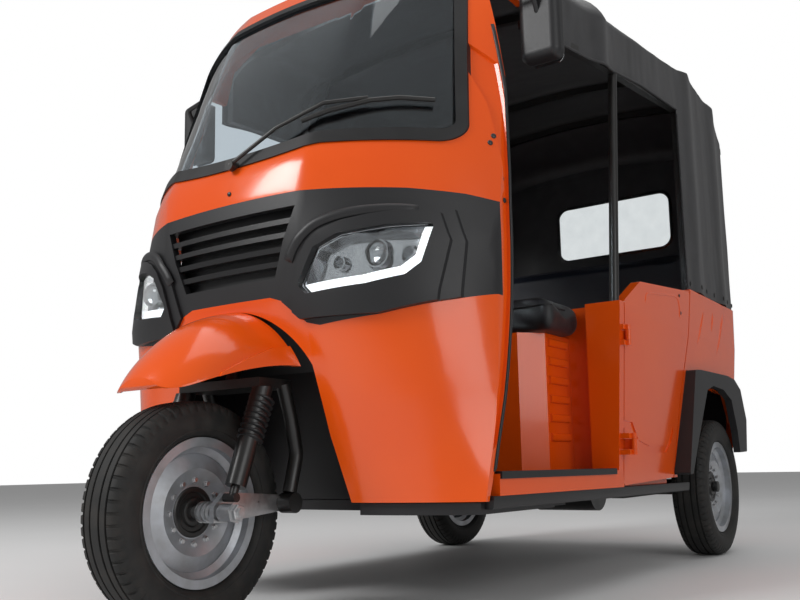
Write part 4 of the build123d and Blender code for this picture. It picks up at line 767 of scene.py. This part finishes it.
def canopy_section(y, low):
    """Half of the canopy's cross section as (x, z) pairs from the hem at low up to the crown."""
    inset = slack_at(y)
    if y > REAR_END - REAR_ROUND:
        inset += REAR_ROUND - math.sqrt(max(0, REAR_ROUND ** 2 - (y - REAR_END + REAR_ROUND) ** 2))
    half, shoulder, crown = [between(SECTIONS, y, c) for c in (1, 2, 3)]
    half, shoulder, crown = half - inset, shoulder - inset * 0.4, crown - inset
    side, level = half - 150, crown - 34
    middle = (half - 40, shoulder + (level - shoulder) * 0.66)
    rows = [(half, low + (shoulder - low) * i / 20) for i in range(20)]
    rows += arc((half, shoulder), middle, (side, level), 9)[:-1]
    return rows + arc((side, level), (0, crown), (-side, level), 36)[:19]


def fold(x, y, z, depth):
    """How far shallow folds push a place of the cloth in or out, in millimetres."""
    wide = noise.noise(Vector((x * 0.004, y * 0.009, z * 0.0035)))
    fine = noise.noise(Vector((x * 0.012, y * 0.03, z * 0.008)) + Vector((5, 2, 9)))
    return depth * (wide + 0.5 * fine)


def roof_row(y):
    """One row of roof points at y, from the left hem over the crown to the right hem."""
    halves = []
    for side in (1, -1):
        half = []
        for x, z in canopy_section(y, hem_height(y)):
            push = fold(side * x, y, z, ROOF_FOLD)
            half.append((side * (x + push * min(1, x / 400)), y, z + push * (1 - min(1, x / 500))))
        halves.append(half)
    return halves[0] + halves[1][-2::-1]


def hem_height(y):
    """Height of the canopy's lower edge at y: over the side openings, then down to the body."""
    return between(HEM_LINE, y, 1)


def cloth_shape(rows):
    """Points and faces of a piece of cloth from its rows of places in millimetres."""
    return [at(*place) for row in rows for place in row], net(len(rows), len(rows[0]), False, False)


def canopy_points():
    """Points and faces of the canopy's single layer: roof with skirts, side curtains and rear wall."""
    stations = [CANOPY_FRONT + (REAR_END - CANOPY_FRONT) * i / 150 for i in range(151)]
    stations = [y for y in stations if abs(y - CURTAIN_FRONT) > 6]
    stations = sorted(stations + [CURTAIN_FRONT, REAR_END - 3, REAR_END - 8, REAR_END - 15])
    roof = [roof_row(y) for y in stations]
    shapes = [cloth_shape(roof)]
    for end, side in ((0, 1), (-1, -1)):
        curtain = []
        for x, y, top in [row[end] for row in roof if row[end][1] >= CURTAIN_FRONT]:
            column = []
            for i in range(CURTAIN_STEPS):
                share = i / CURTAIN_STEPS
                z = LOWER_HEM + (top - LOWER_HEM) * share
                push = fold(x, y, z, CURTAIN_FOLD) * (1 - share) * min(1, 6 * share + 0.25)
                column.append((x + side * push, y, z))
            curtain.append(column + [(x, y, top)])
        shapes.append(cloth_shape(curtain))
    last = roof[-1]
    x, _, top = last[0]
    edge = [(x, REAR_END, LOWER_HEM + (top - LOWER_HEM) * i / CURTAIN_STEPS) for i in range(CURTAIN_STEPS)]
    wall = []
    for x, y, z in edge + last[:len(last) // 2 + 1]:
        row = []
        for k in range(WALL_STEPS + 1):
            share = 1 - 2 * k / WALL_STEPS
            sink = 5 * (1 - share * share) * math.sin(math.pi * min(1, (z - LOWER_HEM) / 800))
            push = fold(x * share, 3000, z, WALL_FOLD) * min(1, (1 - abs(share)) * 8)
            row.append((x * share, y - sink + push * 0.6 - 3 * (1 - abs(share)) ** 2, z))
        wall.append(row)
    return gather(shapes + [cloth_shape(wall)])


def rounded_frame(low_x, high_x, low_z, high_z, corner, y, steps=8):
    """A rounded rectangle in a plane across the vehicle, as points."""
    line = []
    for cx, cz, start in ((high_x - corner, high_z - corner, 0), (low_x + corner, high_z - corner, 90),
                          (low_x + corner, low_z + corner, 180), (high_x - corner, low_z + corner, 270)):
        for i in range(steps + 1):
            angle = math.radians(start + 90 * i / steps)
            line.append(at(cx + corner * math.cos(angle), y, cz + corner * math.sin(angle)))
    return line


def cut_window(piece):
    """Cuts the rear window's opening out of the canopy's rear wall."""
    points, faces = strung([rounded_frame(*WINDOW, 2330), rounded_frame(*WINDOW, 2500)])
    data = bpy.data.meshes.new("cutter")
    data.from_pydata(points, [], faces)
    with editing(data) as mesh:
        bmesh.ops.recalc_face_normals(mesh, faces=mesh.faces)
    cutter = put("cutter", data)
    reshape(piece, "BOOLEAN", operation="DIFFERENCE", solver="EXACT", object=cutter)
    bpy.data.objects.remove(cutter)


canopy = place_mesh("canopy cloth", *canopy_points(), CANOPY, "body", "canopy_vinyl", ["canopy_cover"])
reshape(canopy, "SOLIDIFY", thickness=CLOTH_MM / 1000, offset=-1)
cut_window(canopy)
shade(canopy, 50)
print("canopy has", len(canopy.data.polygons), "faces")

# %% [markdown]
# ## Canopy edges
# A cord is sewn into the canopy's edges, so that they don't tear, and the window film is
# held by a welt all round. Along the lower hem the cloth is pressed onto snap studs on the
# body, one about every hand's width.

# %% Hem cords, window welt and snaps
STUD = [(-2, 9), (1, 9), (2.6, 7.4), (3.4, 4), (3.6, 1)]
STUD_HEIGHT = 992
cloth_skin = skin_of(canopy)
cords, studs = [], []
for word, side in SIDES:
    edge = [at(side * (canopy_section(y, hem_height(y))[0][0] + 1), y, hem_height(y) + 1)
            for y in range(660, 1797, 16)]
    upright = [at(side * canopy_section(1797, 1000)[0][0], 1797, z) for z in range(972, 1650, 20)]
    cords += [rod(edge, 4.5), rod(upright, 4.5)]
    for y in range(1830, 2420, 97):
        hit = cloth_skin.ray_cast(at(900, y, STUD_HEIGHT), Vector((-1, 0, 0)))
        studs.append(spun(STUD, at(side * (hit[0].x * 1000 + 0.5), y, STUD_HEIGHT), (side, 0, 0), 16))
for x in range(-560, 561, 140):
    studs.append(spun(STUD, at(x, REAR_END, STUD_HEIGHT), (0, 1, 0), 16))
place_mesh("canopy hem cords", *gather(cords), CANOPY, "body", "canopy_vinyl")
frame_line = rounded_frame(-146, 390, 1291, 1546, 48, 2434)
place_mesh("rear window welt", *rod(frame_line + frame_line[:2], 6), CANOPY, "body", "canopy_vinyl")
place_mesh("canopy snap studs", *gather(studs), CHASSIS, "body", "black_metal")
print("canopy is held by", len(studs), "snaps")

# %% [markdown]
# ## Lamp surrounds and lamp insides
# Round each headlamp the plastic mask swells into an arched brow. It is laid on the mask
# by dropping points onto it from the front, so it follows the mask's curve. Inside the lamp
# a round projector lens bulges from a polished collar that sits in the lamp's cup.

# %% Brows and projector lenses
BROW = [(203, 826), (217, 851), (242, 881), (270, 905), (305, 920), (348, 930), (394, 935),
        (442, 936), (480, 933)]
DOME = [(0, 31), (-5, 31), (-11, 28.5), (-16, 23), (-19.5, 15), (-21, 6), (-21.2, 1)]
COLLAR = [(0, 33.5), (-9, 33.5), (-9, 31.4), (-1, 31.2)]
BACKWARDS = Vector((0, 1, 0))
for word, side in SIDES:
    path = smooth_path([at(side * x, -300, z) for x, z in BROW], 6)
    place_mesh(word + " lamp brow", *bead(["front_mask"], path, BACKWARDS, 13, 9), PLASTIC, "body", "black_plastic")
    cup = dropped(["headlamp_housings"], [at(side * 390, -300, 836)], BACKWARDS)[0][0]
    place_mesh(word + " projector lens", *spun(DOME, cup - BACKWARDS / 1000, BACKWARDS, 40), LENS, "body", "clear")
    place_mesh(word + " projector collar", *spun(COLLAR, cup - BACKWARDS / 2000, BACKWARDS, 40), REFLECTOR, "body",
               "chrome")
print("two brows and two projectors placed")

# %% [markdown]
# ## Grille screen
# Behind the grille's bars a dark screen keeps leaves and splashing water out of the cab. It
# is one moulded sheet that follows the mask's curve a little way behind it.

# %% Grille screen
SCREEN_HALF = 212
SCREEN_BOTTOM, SCREEN_TOP = 742, 990
rings = []
for i in range(25):
    x = SCREEN_HALF * (i / 12 - 1)
    y = 140 + 18 * (x / SCREEN_HALF) ** 2
    corner = 140 * max(0, abs(x) / SCREEN_HALF - 0.9)
    low, high = SCREEN_BOTTOM + corner, SCREEN_TOP - corner
    rings.append([at(x, y, low), at(x, y, high), at(x, y + 3, high), at(x, y + 3, low)])
place_mesh("grille screen", *strung(rings), SMOOTH_PLASTIC, "body", "black_plastic")
print("screen fitted behind the grille")

# %% [markdown]
# ## Rubber on the doorway
# A black rubber edge covers the sill where the driver steps in, and a rubber seal runs up
# the rear edge of the cab's side. Both are extruded profiles, cut to length and pushed on.

# %% Sill rubbers and door seals
EDGE_LINE = [(372, 330), (388, 392), (440, 582), (470, 762), (484, 1000), (500, 1200), (512, 1360), (522, 1480)]
for word, side in SIDES:
    rings = []
    for y in range(382, 1075, 28):
        edge = 612.6 - 11 * (1082 - y) / 702
        section = [(578, 325.5), (578, 331), (edge + 4, 331), (edge + 5, 329.5), (edge + 5, 314), (edge, 314),
                   (edge, 325.5)]
        rings.append([at(side * x, y, z) for x, z in section])
    place_mesh(word + " sill rubber", *strung(rings), RUBBER, "body", "rubber")
    path = smooth_path([at(side * 900, y - 5, z) for y, z in EDGE_LINE], 10)
    seal = bead(["lower_cowl", "front_mask", "windscreen_frame"], path, Vector((-side, 0, 0)), 5, 5)
    place_mesh(word + " door seal", *seal, RUBBER, "body", "rubber")
print("doorways edged")

# %% [markdown]
# ## Pressed beads
# Thin sheet steel is stiffened by beads pressed into it. The rear side panels have three
# sloping ones, and each half door has a rounded one near its top. They are shallow, so
# they are laid on the solids as rounded ridges in the same enamel.

# %% Beads on panels and doors
SLOTS = [[(1952, 906), (1850, 772)], [(2074, 912), (2038, 840)], [(2222, 932), (2098, 757)]]
DOOR_BEAD = [(1308, 846), (1320, 872), (1356, 884), (1474, 897), (1600, 912), (1644, 904), (1656, 872), (1650, 840)]
for word, side in SIDES:
    inwards = Vector((-side, 0, 0))
    for number, ((y, z), (end_y, end_z)) in enumerate(SLOTS):
        path = [at(side * 900, y + (end_y - y) * t / 12, z + (end_z - z) * t / 12) for t in range(13)]
        slot_bead = bead(["side_panels"], path, inwards, 5, 3)
        place_mesh(f"{word} panel bead {number + 1}", *slot_bead, ENAMEL, "body", "body_paint")
    path = smooth_path([at(side * 900, y, z) for y, z in DOOR_BEAD], 6)
    door_bead = bead(["half_door_" + word], path, inwards, 4, 2)
    place_mesh(word + " door bead", *door_bead, ENAMEL, word + "_half_door", "body_paint")
print("beads laid on panels and doors")

# %% [markdown]
# ## Mirrors and grips
# Each mirror has its glass on the rear face, with a narrow ground edge. The handlebar's
# ends carry rubber grips with rings, so that a hand doesn't slip. Where a grip starts is
# read from the solid handlebar: the middle of its outermost points.

# %% Mirror glass and grips
GRIP = [(-6, 6), (-6, 17), (-2, 19)]
for i in range(10):
    GRIP += [(2 + i * 10, 16), (5 + i * 10, 17.5), (9 + i * 10, 17.5)]
GRIP += [(108, 20), (112, 20), (112, 12.5)]
for word, side in SIDES:
    low, high = side * 645 - 46, side * 645 + 46
    rings = [rounded_frame(low + inset, high - inset, 1386 + inset, 1591 - inset, 18 - inset, y, 6)
             for y, inset in ((640.4, 0), (642.2, 0), (642.8, 1.5))]
    place_mesh(word + " mirror glass", *strung(rings), MIRROR, "body", "chrome")
    points = [v.co for v in NODES["handlebar"].data.vertices]
    reach = max(side * co.x for co in points)
    ends = [co for co in points if abs(side * co.x - reach) < 0.004]
    start = sum(ends, Vector()) / len(ends)
    start.x = side * (reach - 0.002)
    place_mesh(word + " grip", *spun(GRIP, start, (-side * 130, -40, 12), 24), RUBBER, "steering", "rubber")
print("mirrors glazed and grips pushed on")

# %% [markdown]
# ## Strips, bolts and rivets
# A black strip of plastic hangs under each sill and hides the floor's edge. Hinge bolts sit
# in the sunk strip behind the cab's side, rivets hold the half door's latch, and the small
# nozzle of the washer shows on the band under the windscreen. Each fastener is a low dome
# set square to the skin where a ray meets it.

# %% Under-sill strips and fasteners
STRIP_BOLTS = [(434, 1127), (446, 1147), (459, 1039), (464, 985)]
LATCH_RIVETS = [(1660, 921), (1664, 860)]
for word, side in SIDES:
    inwards = Vector((-side, 0, 0))
    rings = []
    for y in range(352, 1800, 58):
        edge = 609 - 9 * max(0, 1082 - y) / 702
        section = [(edge - 26, 275.7), (edge, 275.7), (edge + 1, 272), (edge - 2, 250), (edge - 5, 247),
                   (edge - 24, 247), (edge - 26, 250)]
        rings.append([at(side * x, y, z) for x, z in section])
    place_mesh(word + " under-sill strip", *strung(rings), SMOOTH_PLASTIC, "body", "black_plastic")
    bolts = domes(["windscreen_frame", "lower_cowl", "front_mask"], [at(side * 900, y, z) for y, z in STRIP_BOLTS],
                  inwards, 7, 4)
    place_mesh(word + " strip bolts", *bolts, CHASSIS, "body", "black_metal")
    rivets = domes(["half_door_" + word], [at(side * 900, y, z) for y, z in LATCH_RIVETS], inwards, 6, 3)
    place_mesh(word + " latch rivets", *rivets, CHASSIS, word + "_half_door", "black_metal")
nozzle = domes(["windscreen_frame"], [at(11, -300, 1026)], BACKWARDS, 6, 4)
place_mesh("washer nozzle", *nozzle, SMOOTH_PLASTIC, "body", "black_plastic")
print("strips and fasteners placed")

# %% [markdown]
# ## Camera
# The camera stands low in front of the vehicle's left corner, a third of a metre above the
# ground, and looks slightly up. Its place and turn were worked out from the wheels and the
# straight edges of the real vehicle, so the render has the same perspective.

# %% Place the camera
CAMERA_PLACE = Vector((1.5808, -2.52801, 0.34057))
CAMERA_YAW = 0.60294
CAMERA_PITCH = 0.14271
CAMERA_ROLL = -0.01846
FOCAL_MM = 40.32

forward = Vector((-math.sin(CAMERA_YAW) * math.cos(CAMERA_PITCH),
                  math.cos(CAMERA_YAW) * math.cos(CAMERA_PITCH), math.sin(CAMERA_PITCH)))
level_right = Vector((math.cos(CAMERA_YAW), math.sin(CAMERA_YAW), 0))
level_up = level_right.cross(forward)
right = level_right * math.cos(CAMERA_ROLL) + level_up * math.sin(CAMERA_ROLL)
up = level_up * math.cos(CAMERA_ROLL) - level_right * math.sin(CAMERA_ROLL)
turn = Matrix((right, up, -forward)).transposed().to_4x4()
camera = put("camera", bpy.data.cameras.new("camera"))
camera.matrix_world = Matrix.Translation(CAMERA_PLACE) @ turn
camera.data.sensor_width = 36
camera.data.lens = FOCAL_MM
camera.data.shift_y = 0.05
camera.data.clip_start = 0.05
bpy.context.scene.camera = camera
print("camera at", tuple(round(c, 3) for c in CAMERA_PLACE))

# %% [markdown]
# ## Floor, world and lamps
# A pale floor keeps the vehicle's shadow. The world is an even white. The camera sees it at
# full strength, also through glass, but it lights the vehicle and shows in gloss at less
# than a third, or the enamel would look washed out. Three large soft lamps shape the body:
# a key in front, to the camera's left, a fill to its right and one overhead. They show only
# weakly in gloss, where a hard bright square would give the studio away.

# %% Studio
def studio_floor():
    """A large pale floor with a faint mottle."""
    data = bpy.data.meshes.new("floor")
    with editing(data) as mesh:
        bmesh.ops.create_grid(mesh, x_segments=4, y_segments=4, size=30)
    data.materials.append(patchy("pale studio floor", 900, 4.0, ("E2E2E2", "E8E8E8"), Roughness=0.6)[0])
    put("floor", data)


def soft_world(light, seen):
    """A white surround that is brighter to the camera, also through glass, than as a light."""
    world = bpy.data.worlds.new("studio")
    bpy.context.scene.world = world
    world.use_nodes = True
    tree = world.node_tree
    back = tree.nodes["Background"]
    back.inputs["Color"].default_value = linear("FFFFFF")
    rays = add(tree, "ShaderNodeLightPath")
    straight = add(tree, "ShaderNodeMath", {0: rays.outputs["Is Camera Ray"], 1: rays.outputs["Is Transmission Ray"]},
                   operation="MAXIMUM")
    add(tree, "ShaderNodeMapRange", {"Value": straight.outputs[0], "To Min": light, "To Max": seen},
        [(0, back.inputs["Strength"])])


def soft_lamp(name, place, target, size, power, shine):
    """A large square lamp that looks at a target; shine is how strongly it shows in gloss."""
    data = bpy.data.lights.new(name, "AREA")
    data.shape = "SQUARE"
    data.size = size
    data.energy = power
    data.specular_factor = shine
    way = Vector(target) - Vector(place)
    put(name, data).matrix_world = Matrix.Translation(place) @ way.to_track_quat("-Z", "Y").to_matrix().to_4x4()


studio_floor()
soft_world(0.3, 1.0)
soft_lamp("key lamp", (-2.5, -5.5, 4.5), (0, -0.5, 0.8), 2.5, 270, 0.3)
soft_lamp("fill lamp", (5.0, -2.5, 2.2), (0, 0, 0.8), 3.0, 70, 0.06)
soft_lamp("top lamp", (0.5, 0.5, 5.5), (0, 0, 0.5), 4.5, 100, 0.25)
bpy.context.scene.view_settings.view_transform = "Standard"
